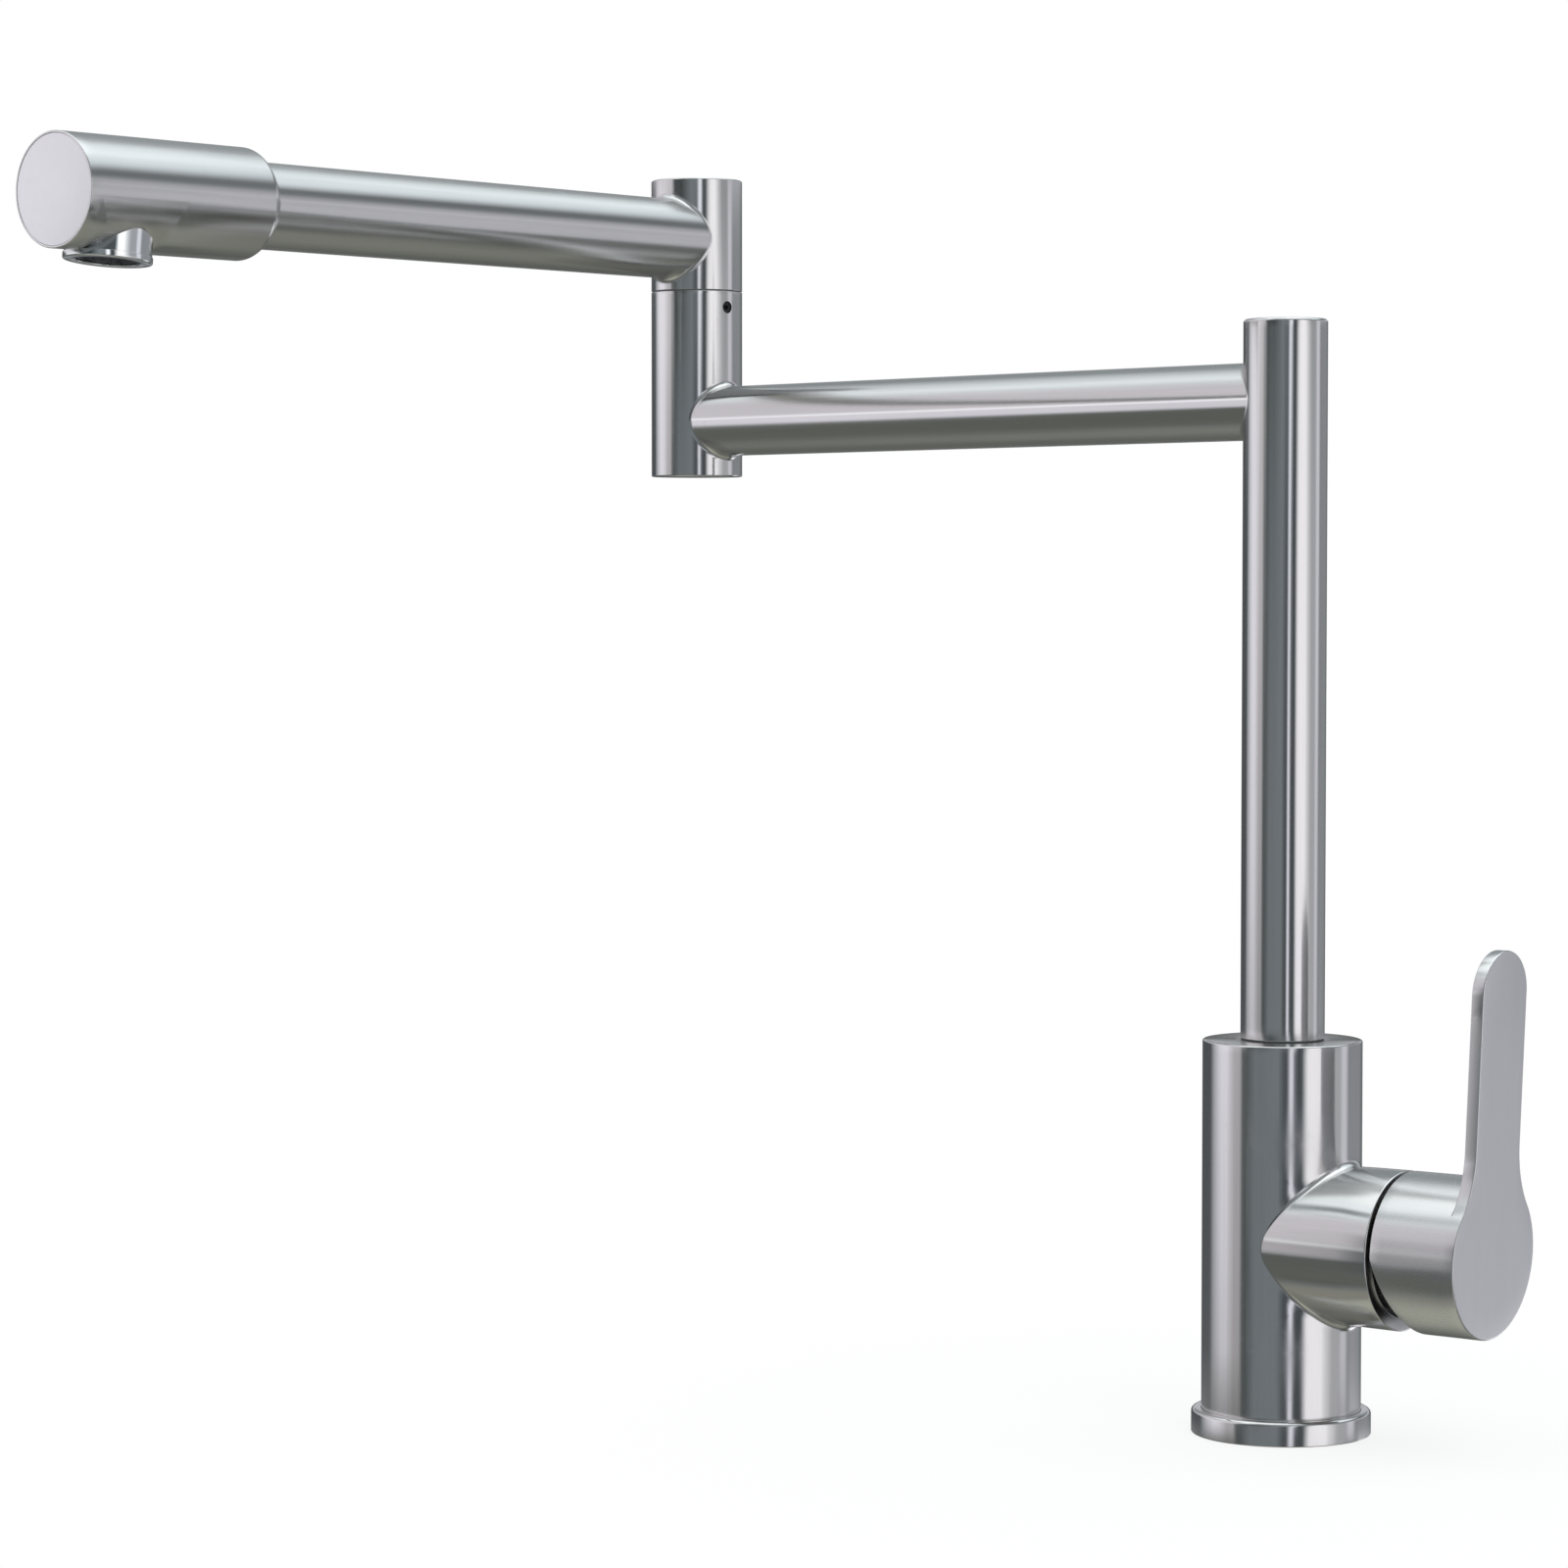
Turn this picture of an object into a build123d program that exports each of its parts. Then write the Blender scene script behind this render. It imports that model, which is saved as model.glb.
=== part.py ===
from build123d import *

import os
from math import cos, radians, sin, sqrt, tan

# A two-joint folding kitchen mixer tap, in millimetres.
# The origin is the centre of the base ring on the worktop, +Z is up,
# +X runs along the axis of the handle's branch and -Y points to the sink.

# Fits
snug = 0.02  # radial room between pieces that are fixed to each other
running = 0.05  # radial room between pieces that turn or slide on each other
film = 0.05  # room between flat faces that slide on each other
screw_room = 0.3  # room between a retaining screw's tip and its groove
overrun = 1.0  # how far a cutting tool passes the face that it opens

# Cartridge, along the branch from the body's axis outwards
seat_x = 8.0
cartridge_d = 35.0
cartridge_room = 0.3
cartridge_base_t = 5.0
casing_wall = 3.2
casing_shoulder_h = 25.0
casing_shoulder_w = 2.5
disc_gasket_t = 1.0
fixed_disc_t = 4.0
moving_disc_t = 4.0
disc_side_room = 0.5
carrier_t = 6.5
carrier_w = 18.0
rotor_h = 11.5
rotor_neck_h = 6.0
rotor_neck_wall = 3.5
nut_ledge = 1.8
nut_t = 8.0
nut_slot_w = 5.0
nut_slot_depth = 3.0
bonnet_inset = 2.0
bonnet_h = 7.0
bonnet_wall = 1.4
bonnet_round = 3.0
bonnet_hole_d = 25.0

# Ports between the cartridge and its seat
port_d = 6.8
inlet_port_y = 8.0
inlet_port_drop = 5.0
outlet_port_rise = 9.0
seal_section = 1.6
seal_h = 1.8
peg_d = 3.6
peg_h = 3.0
peg_y = 11.0
peg_rise = 7.0
mixing_pocket_d = 12.0
mixing_pocket_depth = 2.2

# Control stem
pivot_h = 5.0  # from the rotor's inner face to the stem's pivot
pin_d = 3.5
stem_w = 7.0
stem_hub_d = 8.0
stem_neck_d = 3.0
stem_ball_d = 5.2
stem_ball_depth = 3.1  # of the ball's centre below the carrier's outer face
stem_socket_room = 0.15
stem_reach = 32.0  # from the pivot to the square end
lift_max = 18.0  # degrees of tilt from closed to fully open

# Valve body, its branch and the weld between them
housing_wall = 4.0
housing_end_x = 42.8
branch_z = 58.0
branch_step = 0.15  # how much smaller the branch is than the body, on the radius
branch_root_x = 42.0  # where the gently drawn-in branch reaches its full size
branch_root_round = 700.0
weld_r = 2.2
mouth_chamfer = 0.4
body_wall = 3.0
body_top_z = 117.7
body_top_t = 5.0
body_edge = 0.6

# Base ring and gasket
base_ring_lip = 3.0
base_ring_h = 7.2
base_ring_floor = 3.0
base_ring_round = 1.2
base_bore_d = 40.0
gasket_w = 3.4
gasket_t = 1.4
gasket_inset = 1.0

# Inlet block
block_z = 24.0
inlet_thread_d = 9.0
inlet_thread_depth = 14.0
stud_thread_d = 6.8
stud_thread_depth = 12.0
stud_offset = 12.0
outlet_d = 10.0

# Riser and its swivel
riser_d = 25.0
riser_wall = 1.5
riser_top_z = 331.6
riser_cap_t = 3.0
riser_plug_h = 4.0
riser_edge = 1.0
bush_h = 27.7
bush_neck_d = 28.0
riser_spigot_d = 20.9
riser_spigot_bore_d = 14.0
riser_spigot_depth = 23.7
riser_spigot_plug_h = 14.0
riser_keep_drop = 7.7
riser_screw_d = 5.0
riser_screw_azimuth = 135.0
slip_t = 0.4
slip_inset = 0.2
groove_w = 2.4
groove_depth = 1.7
keep_groove_w = 3.0
keep_groove_depth = 1.6
seal_drops = (6.0, 12.0)  # of the seals below the retaining groove
screw_sink = 0.6

# Lower arm
lower_arm_step = 0.9  # how much smaller the arm is than the riser, on the radius
lower_arm_wall = 1.6
lower_arm_drop = 24.05  # of the arm's axis below the riser's top
lower_arm_reach = 262.2
lower_arm_azimuth = 170.6
arm_weld_r = 2.0

# Elbow
elbow_step = 2.0  # how much larger the elbow is than the upper arm, on the radius
elbow_wall = 1.75
elbow_foot_drop = 18.4
elbow_seam_rise = 43.85
elbow_top_rise = 20.05
elbow_cap_t = 3.0
elbow_edge = 0.5
elbow_socket_h = 29.0
elbow_spigot_d = 18.0
elbow_spigot_bore_d = 11.0
elbow_spigot_depth = 27.5
elbow_flange_t = 4.0
elbow_keep_drop = 5.8
elbow_screw_d = 4.0

# Upper arm and spout head
upper_arm_d = 26.5
upper_arm_wall = 1.5
upper_arm_rise = 17.0  # of the arm's axis above the elbow's seam
upper_arm_azimuth = 266.8
spout_reach = 279.9
head_step = 3.95  # how much larger the head is than the upper arm, on the radius
head_length = 73.2
head_wall = 1.6
shoulder_length = 4.2
shoulder_lip = 0.3
shoulder_round = 3.0
arm_engagement = 18.0
end_rim_w = 0.7
end_rim_chamfer = 0.3
end_disc_t = 1.3
end_plug_t = 2.0

# Aerator
aerator_d = 26.0
aerator_gap = 0.4
aerator_end_room = 4.0
aerator_lean = 5.5  # degrees that its foot leans towards the head's end
aerator_drop = 20.1  # of its lower rim below the arm's axis
aerator_thread_d = 24.0
aerator_collar_drop = 8.2
aerator_socket_rise = 3.0
aerator_lip_w = 3.0
aerator_washer_t = 2.0
aerator_wall = 1.5
aerator_foot_t = 1.0
aerator_edge = 0.5
aerator_rim_step = 0.3  # how much larger its lower rim is, on the radius
aerator_rim_h = 2.0
aerator_flats = 22.6  # across the two spanner flats above the rim
aerator_flat_turn = 30.0  # of the flats from the arm's direction
insert_wall = 1.4
insert_plate_t = 2.0
honeycomb_pitch = 2.6
honeycomb_bar = 0.6
honeycomb_rings = 3

# Lever handle
cap_gap = 1.4
cap_front_x = 71.8
cap_wall = 2.0
lever_t = 4.0
lever_w = 25.4
lever_tip_rise = 89.8
lever_neck_r = 30.0
lever_lean = 2.5
lever_edge = 0.5
cap_edge = 0.4
boss_d = 18.0
boss_h = 13.0
handle_screw_d = 5.0
handle_screw_l = 5.0
handle_screw_back = 10.0  # of the screw's axis behind the front face
handle_access_room = 0.6

# Radii that several pieces share
cartridge_r = cartridge_d / 2
cartridge_bore_r = cartridge_r + cartridge_room
casing_bore_r = cartridge_r - casing_wall
casing_neck_r = cartridge_r - casing_shoulder_w
rotor_r = casing_bore_r - running
rotor_neck_r = casing_neck_r - rotor_neck_wall
nut_bore_r = cartridge_bore_r + nut_ledge
branch_r = nut_bore_r + housing_wall
body_r = branch_r + branch_step
body_bore_r = body_r - body_wall
riser_r = riser_d / 2
riser_bore_r = riser_r - riser_wall
riser_spigot_r = riser_spigot_d / 2
lower_arm_r = riser_r - lower_arm_step
lower_arm_bore_r = lower_arm_r - lower_arm_wall
upper_arm_r = upper_arm_d / 2
upper_arm_bore_r = upper_arm_r - upper_arm_wall
elbow_r = upper_arm_r + elbow_step
elbow_bore_r = elbow_r - elbow_wall
elbow_spigot_r = elbow_spigot_d / 2
head_r = upper_arm_r + head_step
head_bore_r = head_r - head_wall
aerator_r = aerator_d / 2
aerator_hole_r = aerator_r + aerator_gap
aerator_thread_r = aerator_thread_d / 2

# Heights and stations that follow from them
block_top_z = body_top_z - bush_h
lower_arm_z = riser_top_z - lower_arm_drop
elbow_foot_z = lower_arm_z - elbow_foot_drop
elbow_seam_z = lower_arm_z + elbow_seam_rise
upper_arm_z = elbow_seam_z + upper_arm_rise
elbow_top_z = upper_arm_z + elbow_top_rise
elbow_x = lower_arm_reach * cos(radians(lower_arm_azimuth))
elbow_y = lower_arm_reach * sin(radians(lower_arm_azimuth))
gasket_x = seat_x + cartridge_base_t
fixed_disc_x = gasket_x + disc_gasket_t
moving_disc_x = fixed_disc_x + fixed_disc_t + film
carrier_x = moving_disc_x + moving_disc_t
rotor_x = carrier_x + carrier_t + film
rotor_shoulder_x = rotor_x + rotor_h
casing_end_x = rotor_shoulder_x + rotor_neck_h
casing_shoulder_x = seat_x + casing_shoulder_h
nut_face_x = casing_shoulder_x + nut_t
pivot_x = rotor_x + pivot_h
ball_x = carrier_x + carrier_t - stem_ball_depth
disc_travel = (pivot_x - ball_x) * radians(lift_max)
disc_r = casing_bore_r - disc_travel / 2 - disc_side_room
cap_rim_x = housing_end_x + cap_gap
head_start_t = spout_reach - head_length
shoulder_start_t = head_start_t - shoulder_length
end_plug_start_t = spout_reach - end_disc_t - end_plug_t
aerator_t = end_plug_start_t - aerator_end_room - aerator_hole_r


def upright(x, y, z):
    """Frame at a point with its axes along the tap's own."""
    return Plane(origin=(x, y, z), x_dir=(1, 0, 0), z_dir=(0, 0, 1))


def level(x, y, z, azimuth):
    """Frame at a point whose Z axis is level, at an azimuth, and whose Y axis is up."""
    c, s = cos(radians(azimuth)), sin(radians(azimuth))
    return Plane(origin=(x, y, z), x_dir=(-s, c, 0), z_dir=(c, s, 0))


def rod(radius, low, high):
    """Cylinder on the Z axis between two heights."""
    return Pos(0, 0, low) * Cylinder(radius, high - low, align=(Align.CENTER, Align.CENTER, Align.MIN))


def pipe(outer, inner, low, high):
    """Round tube on the Z axis between two heights."""
    return rod(outer, low, high) - rod(inner, low, high)


def block(width, depth, low, high):
    """Rectangular bar on the Z axis between two heights."""
    return Pos(0, 0, low) * Box(width, depth, high - low, align=(Align.CENTER, Align.CENTER, Align.MIN))


def cross_rod(radius, length, height):
    """Cylinder along the X axis, centred on the Z axis at a height."""
    return Pos(0, 0, height) * Rot(0, 90, 0) * Cylinder(radius, length)


def weld_edges(shape):
    """Edges where two round tubes meet, which are neither straight nor circular."""
    return shape.edges().filter_by(lambda e: e.geom_type not in (GeomType.LINE, GeomType.CIRCLE))


def spigot_grooves(radius, top, keep_drop):
    """Rings to be cut from a spigot for its retaining screw and its two seals."""
    keep_z = top - keep_drop
    half = keep_groove_w / 2
    grooves = pipe(radius + overrun, radius - keep_groove_depth, keep_z - half, keep_z + half)
    for drop in seal_drops:
        low = keep_z - drop - groove_w / 2
        grooves += pipe(radius + overrun, radius - groove_depth, low, low + groove_w)
    return grooves


def spigot_seals(radius, top, keep_drop):
    """Two seal rings that fill the seal grooves of a spigot."""
    rings = []
    for drop in seal_drops:
        low = top - keep_drop - drop - groove_w / 2 + snug
        rings.append(pipe(radius, radius - groove_depth + snug, low, low + groove_w - 2 * snug))
    return rings


def keep_screw(diameter, spigot_radius, outer_radius):
    """Headless screw whose dog point stands in a spigot's retaining groove, along Z."""
    tip_r = keep_groove_w / 2 - screw_room
    tip_start = spigot_radius - keep_groove_depth + screw_room
    thread_start = spigot_radius + running + screw_room
    end = outer_radius - screw_sink
    screw = rod(diameter / 2, thread_start, end) + rod(tip_r, tip_start, thread_start)
    socket = extrude(Pos(0, 0, end) * RegularPolygon(diameter / 4, 6), -diameter / 2)
    return screw - socket


def arm_with_welds(reach, radius, bore, start_post, end_post):
    """Arm tube along Z, saddle-cut to the upright tubes at its ends, with its weld fillets.

    An upright tube is given by its radius, and stands along Y. None leaves that end square.
    """
    post_length = 2 * (radius + 3 * arm_weld_r)
    posts = [(0, start_post)]
    if end_post:
        posts.append((reach, end_post))
    joined = rod(radius, 0, reach)
    for height, post_r in posts:
        joined += Pos(0, 0, height) * Rot(90, 0, 0) * Cylinder(post_r, post_length)
    arm = fillet(weld_edges(joined), arm_weld_r)
    for height, post_r in posts:
        arm -= Pos(0, 0, height) * Rot(90, 0, 0) * Cylinder(post_r + snug, post_length + overrun)
    return arm - rod(bore, 0, reach)


# Frames of the branch and of the two arms, each with Z along its tube
branch = level(0, 0, branch_z, 0)
lower_arm = level(0, 0, lower_arm_z, lower_arm_azimuth)
lower_arm_back = level(elbow_x, elbow_y, lower_arm_z, lower_arm_azimuth + 180)
upper_arm = level(elbow_x, elbow_y, upper_arm_z, upper_arm_azimuth)
elbow = upright(elbow_x, elbow_y, 0)
aerator_tilt = Rot(-90 - aerator_lean, 0, 0) * Pos(0, 0, head_r)
aerator = upper_arm * Pos(0, -head_r, aerator_t) * aerator_tilt

parts = {}

# Base ring with its gasket
base_ring = rod(body_r + base_ring_lip, 0, base_ring_h)
base_ring = fillet(base_ring.edges().group_by(Axis.Z)[-1], base_ring_round)
base_ring -= rod(body_r + snug, base_ring_floor, base_ring_h)
base_ring -= rod(base_bore_d / 2, 0, base_ring_h)
gasket_r = base_bore_d / 2 + gasket_inset
parts["base_ring"] = base_ring - pipe(gasket_r + gasket_w, gasket_r, 0, gasket_t)
parts["base_gasket"] = pipe(gasket_r + gasket_w - snug, gasket_r + snug, 0, gasket_t - snug)

# Valve body: upright tube and branch, welded and ground
root_drop = branch_root_round - sqrt(branch_root_round**2 - branch_root_x**2)
root_arc = RadiusArc((branch_r - root_drop, 0), (branch_r, branch_root_x), branch_root_round)
housing_line = Polyline(root_arc @ 1, (branch_r, housing_end_x), (0, housing_end_x), (0, 0), root_arc @ 0)
housing_face = make_face(Curve() + [root_arc, housing_line])
housing = branch * revolve(Plane.XZ * housing_face, Axis.Z)
shell = rod(body_r, base_ring_floor, body_top_z)
shell = fillet(shell.edges().group_by(Axis.Z)[-1], body_edge) + housing
shell = fillet(weld_edges(shell), weld_r)
shell = chamfer(shell.edges().group_by(Axis.X)[-1], mouth_chamfer)
shell -= rod(body_bore_r, base_ring_floor, body_top_z - body_top_t)
shell -= rod(bush_neck_d / 2 + snug, base_ring_floor, body_top_z)
shell -= branch * rod(cartridge_bore_r, 0, housing_end_x)
shell -= branch * rod(nut_bore_r, casing_shoulder_x, housing_end_x)
riser_screw_axis = level(0, 0, body_top_z - riser_keep_drop, riser_screw_azimuth)
riser_screw_hole = riser_screw_axis * rod(riser_screw_d / 2 + snug, riser_spigot_r, body_r + overrun)
parts["valve_body"] = shell - riser_screw_hole

# Inlet block: hose inlets and stud hole below, cartridge seat at the side, outlet above
inlet_block = rod(body_bore_r - snug, block_z, block_top_z)
inlet_block -= branch * rod(cartridge_bore_r, seat_x, body_r)
port_places = [
    (-inlet_port_y, -inlet_port_drop),
    (inlet_port_y, -inlet_port_drop),
    (0, outlet_port_rise),
]
peg_places = [(-peg_y, peg_rise), (peg_y, peg_rise)]
for y, rise in port_places:
    inlet_block -= branch * Pos(y, rise) * rod(port_d / 2, 0, seat_x)
for y, rise in peg_places:
    inlet_block -= branch * Pos(y, rise) * rod(peg_d / 2 + snug, seat_x - peg_h - film, seat_x)
for y in (-inlet_port_y, inlet_port_y):
    inlet_block -= Pos(0, y) * rod(inlet_thread_d / 2, block_z, block_z + inlet_thread_depth)
    inlet_block -= Pos(0, y) * rod(port_d / 2, block_z, branch_z - inlet_port_drop + port_d / 2)
inlet_block -= Pos(-stud_offset, 0) * rod(stud_thread_d / 2, block_z, block_z + stud_thread_depth)
outlet_foot_z = branch_z + outlet_port_rise - port_d / 2
parts["inlet_block"] = inlet_block - rod(outlet_d / 2, outlet_foot_z, block_top_z)

# Cartridge pieces that stay still
cartridge_base = rod(cartridge_r, seat_x, gasket_x)
disc_gasket = rod(casing_bore_r - snug, gasket_x, fixed_disc_x)
fixed_disc = rod(casing_bore_r - snug, fixed_disc_x, moving_disc_x - film)
seat_seals = []
for y, rise in port_places:
    place = Pos(y, rise)
    seal_r = port_d / 2 + seal_section
    cartridge_base -= place * rod(port_d / 2, seat_x, gasket_x)
    cartridge_base -= place * rod(seal_r, seat_x, seat_x + seal_h)
    disc_gasket -= place * rod(port_d / 2, gasket_x, fixed_disc_x)
    fixed_disc -= place * rod(port_d / 2, fixed_disc_x, moving_disc_x)
    seat_seals.append(branch * place * pipe(seal_r - snug, port_d / 2, seat_x, seat_x + seal_h))
for y, rise in peg_places:
    cartridge_base += Pos(y, rise) * rod(peg_d / 2, seat_x - peg_h, seat_x)
parts["cartridge_base"] = branch * cartridge_base
parts["seat_seals"] = Compound(children=seat_seals)
parts["disc_gasket"] = branch * disc_gasket
parts["fixed_ceramic_disc"] = branch * fixed_disc
casing = rod(cartridge_r, gasket_x, casing_shoulder_x) + rod(casing_neck_r, casing_shoulder_x, casing_end_x)
casing -= rod(casing_bore_r, gasket_x, rotor_shoulder_x + film)
parts["cartridge_casing"] = branch * (casing - rod(rotor_neck_r + running, gasket_x, casing_end_x))
nut = pipe(nut_bore_r - snug, casing_neck_r + snug, casing_shoulder_x, nut_face_x)
for turn in (0, 90):
    nut -= Rot(0, 0, turn) * block(2 * nut_bore_r, nut_slot_w, nut_face_x - nut_slot_depth, nut_face_x)
parts["cartridge_nut"] = branch * nut
bonnet_r = nut_bore_r - bonnet_inset
bonnet = rod(bonnet_r, nut_face_x, nut_face_x + bonnet_h)
bonnet = fillet(bonnet.edges().group_by(Axis.Z)[-1], bonnet_round)
bonnet -= rod(bonnet_r - bonnet_wall, nut_face_x, nut_face_x + bonnet_h - bonnet_wall)
parts["bonnet_cap"] = branch * (bonnet - rod(bonnet_hole_d / 2, nut_face_x, nut_face_x + bonnet_h))

# Moving disc and its carrier, which slide up as the stem tilts
disc_centre = Pos(0, -disc_travel / 2)
moving_disc = disc_centre * rod(disc_r, moving_disc_x, carrier_x)
pocket = Pos(0, outlet_port_rise - disc_travel) * rod(
    mixing_pocket_d / 2, moving_disc_x, moving_disc_x + mixing_pocket_depth
)
parts["moving_ceramic_disc"] = branch * (moving_disc - pocket)
carrier = disc_centre * rod(disc_r, carrier_x, carrier_x + carrier_t)
carrier &= block(carrier_w, 4 * disc_r, carrier_x, carrier_x + carrier_t)
ball_socket = rod(stem_ball_d / 2 + stem_socket_room, ball_x - stem_ball_d / 2 - screw_room, rotor_x)
parts["disc_carrier"] = branch * (carrier - ball_socket)

# Rotor, which turns in the casing and carries the stem on its pin
leg_x = carrier_x + film
legs = rod(rotor_r, leg_x, rotor_x) - block(carrier_w + 2 * running, 2 * cartridge_d, leg_x, rotor_x)
rotor = rod(rotor_r, rotor_x, rotor_shoulder_x) + rod(rotor_neck_r, rotor_shoulder_x, casing_end_x) + legs
stem_swing = (casing_end_x - pivot_x) * tan(radians(lift_max)) + stem_w / 2 / cos(radians(lift_max))
slot_low = -stem_swing - screw_room
slot_high = stem_hub_d / 2 + screw_room
slot = Pos(0, (slot_low + slot_high) / 2) * block(
    stem_w + 2 * running, slot_high - slot_low, rotor_x, casing_end_x
)
rotor -= slot
pin_l = 2 * sqrt(rotor_r**2 - (pin_d / 2) ** 2) - pin_d / 2
parts["stem_rotor"] = branch * (rotor - cross_rod(pin_d / 2 + snug, 2 * rotor_r, pivot_x))
parts["stem_pin"] = branch * cross_rod(pin_d / 2, pin_l, pivot_x)

# Control stem: ball, neck, hub and square end
stem_end_x = pivot_x + stem_reach
stem = Pos(0, 0, ball_x) * Sphere(stem_ball_d / 2) + rod(stem_neck_d / 2, ball_x, pivot_x)
stem += cross_rod(stem_hub_d / 2, stem_w, pivot_x) + block(stem_w, stem_w, pivot_x, stem_end_x)
parts["control_stem"] = branch * (stem - cross_rod(pin_d / 2 + running, 2 * stem_w, pivot_x))

# Lever handle: cup over the housing's mouth and flat paddle, whose front leans outwards
lever_tip_r = lever_w / 2
tip_centre_rise = lever_tip_rise - lever_tip_r
outline = Circle(branch_r) + Pos(0, tip_centre_rise / 2) * Rectangle(lever_w, tip_centre_rise)
outline += Pos(0, tip_centre_rise) * Circle(lever_tip_r)
neck_y = sqrt(branch_r**2 - lever_tip_r**2)
necks = outline.vertices().filter_by(lambda v: abs(v.Y - neck_y) < snug and abs(v.X) > lever_tip_r - snug)
outline = fillet(necks, lever_neck_r)
front = branch * Pos(0, 0, cap_front_x) * Rot(lever_lean, 0, 0)
sheet = 3 * lever_tip_rise
in_front = front * block(sheet, sheet, 0, sheet)
behind_plate = front * block(sheet, sheet, -sheet, -lever_t)
lever = branch * Pos(0, 0, cap_rim_x) * extrude(outline, sheet) - in_front - behind_plate
lever += branch * rod(branch_r, cap_rim_x, cap_front_x + lever_t) - in_front
cavity = branch * rod(branch_r - cap_wall, cap_rim_x, cap_front_x) & behind_plate
boss = branch * rod(boss_d / 2, cap_front_x - lever_t - boss_h, cap_front_x) - in_front
wedge_run = 2 * branch_r
wedge_line = Polyline(
    (cap_rim_x, branch_z),
    (cap_rim_x + wedge_run * tan(radians(lift_max)), branch_z - wedge_run),
    (housing_end_x, branch_z - wedge_run),
    (housing_end_x, branch_z),
    close=True,
)
wedge = extrude(Plane.XZ * make_face(wedge_line), 2 * branch_r, both=True)
lever -= wedge
front_face = lever.faces().sort_by_distance(front.position)[0]
lever = fillet(front_face.outer_wire().edges(), lever_edge)
rim_faces = lever.faces().filter_by(GeomType.PLANE).sort_by(Axis.X)[:2]
lever = fillet(rim_faces.edges().filter_by(GeomType.LINE, reverse=True), cap_edge)
lever = lever - cavity + boss
stem_socket_x = cap_front_x - lever_t - boss_h
lever -= branch * block(stem_w + 2 * snug, stem_w + 2 * snug, stem_socket_x, stem_end_x + film)
screw_x = cap_front_x - handle_screw_back
screw_axis = branch * Pos(0, 0, screw_x) * Rot(90, 0, 0)
access_start = boss_d / 2 + overrun
lever -= screw_axis * rod(handle_screw_d / 2 + snug, 0, access_start)
lever -= screw_axis * rod(handle_screw_d / 2 + handle_access_room, access_start, branch_r + overrun)
parts["lever_handle"] = lever
screw_start = stem_w / 2 + snug
handle_screw = rod(handle_screw_d / 2, screw_start, screw_start + handle_screw_l)
hex_socket = Pos(0, 0, screw_start + handle_screw_l) * RegularPolygon(handle_screw_d / 4, 6)
parts["handle_grub_screw"] = screw_axis * (handle_screw - extrude(hex_socket, -handle_screw_d / 2))

# Riser with its swivel in the valve body
riser_foot_z = body_top_z + slip_t
bush = rod(body_bore_r - snug, block_top_z, body_top_z - body_top_t)
bush += rod(bush_neck_d / 2, block_top_z, body_top_z)
parts["swivel_bush"] = bush - rod(riser_spigot_r + running, block_top_z, body_top_z) - riser_screw_hole
parts["riser_grub_screw"] = riser_screw_axis * keep_screw(riser_screw_d, riser_spigot_r, body_r)
spigot = rod(riser_spigot_r, body_top_z - riser_spigot_depth, riser_foot_z)
spigot -= spigot_grooves(riser_spigot_r, body_top_z, riser_keep_drop)
spigot += rod(riser_bore_r - snug, riser_foot_z, riser_foot_z + riser_spigot_plug_h)
spigot -= rod(riser_spigot_bore_d / 2, 0, riser_top_z)
parts["riser_spigot"] = spigot
parts["riser_seals"] = Compound(children=spigot_seals(riser_spigot_r, body_top_z, riser_keep_drop))
parts["riser_slip_ring"] = pipe(riser_r - slip_inset, riser_spigot_r + snug, body_top_z + film, riser_foot_z)
riser_tube_top_z = riser_top_z - riser_cap_t
riser_tube = pipe(riser_r, riser_bore_r, riser_foot_z, riser_tube_top_z)
parts["riser_tube"] = riser_tube - lower_arm * rod(lower_arm_bore_r, 0, riser_d)
riser_cap = rod(riser_r, riser_tube_top_z, riser_top_z)
riser_cap = fillet(riser_cap.edges().group_by(Axis.Z)[-1], riser_edge)
riser_cap += rod(riser_bore_r - snug, riser_tube_top_z - riser_plug_h, riser_tube_top_z)
parts["riser_cap"] = riser_cap

# Lower arm and the lower half of the elbow
parts["lower_arm_tube"] = lower_arm * arm_with_welds(
    lower_arm_reach, lower_arm_r, lower_arm_bore_r, riser_r, elbow_r
)
elbow_screw_axis = level(elbow_x, elbow_y, elbow_seam_z - elbow_keep_drop, lower_arm_azimuth + 180)
elbow_screw_hole = elbow_screw_axis * rod(elbow_screw_d / 2 + snug, elbow_spigot_r, elbow_r + overrun)
elbow_lower = elbow * pipe(elbow_r, elbow_bore_r, elbow_foot_z, elbow_seam_z - slip_t)
elbow_lower -= lower_arm_back * rod(lower_arm_bore_r, 0, 2 * elbow_r)
parts["elbow_lower_tube"] = elbow_lower - elbow_screw_hole
parts["elbow_bottom_cap"] = elbow * rod(elbow_bore_r - snug, elbow_foot_z, elbow_foot_z + elbow_cap_t)
elbow_socket_top_z = elbow_seam_z - slip_t
elbow_socket = elbow * pipe(
    elbow_bore_r - snug, elbow_spigot_r + running, elbow_socket_top_z - elbow_socket_h, elbow_socket_top_z
)
parts["elbow_socket"] = elbow_socket - elbow_screw_hole
parts["elbow_grub_screw"] = elbow_screw_axis * keep_screw(elbow_screw_d, elbow_spigot_r, elbow_r)

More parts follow.
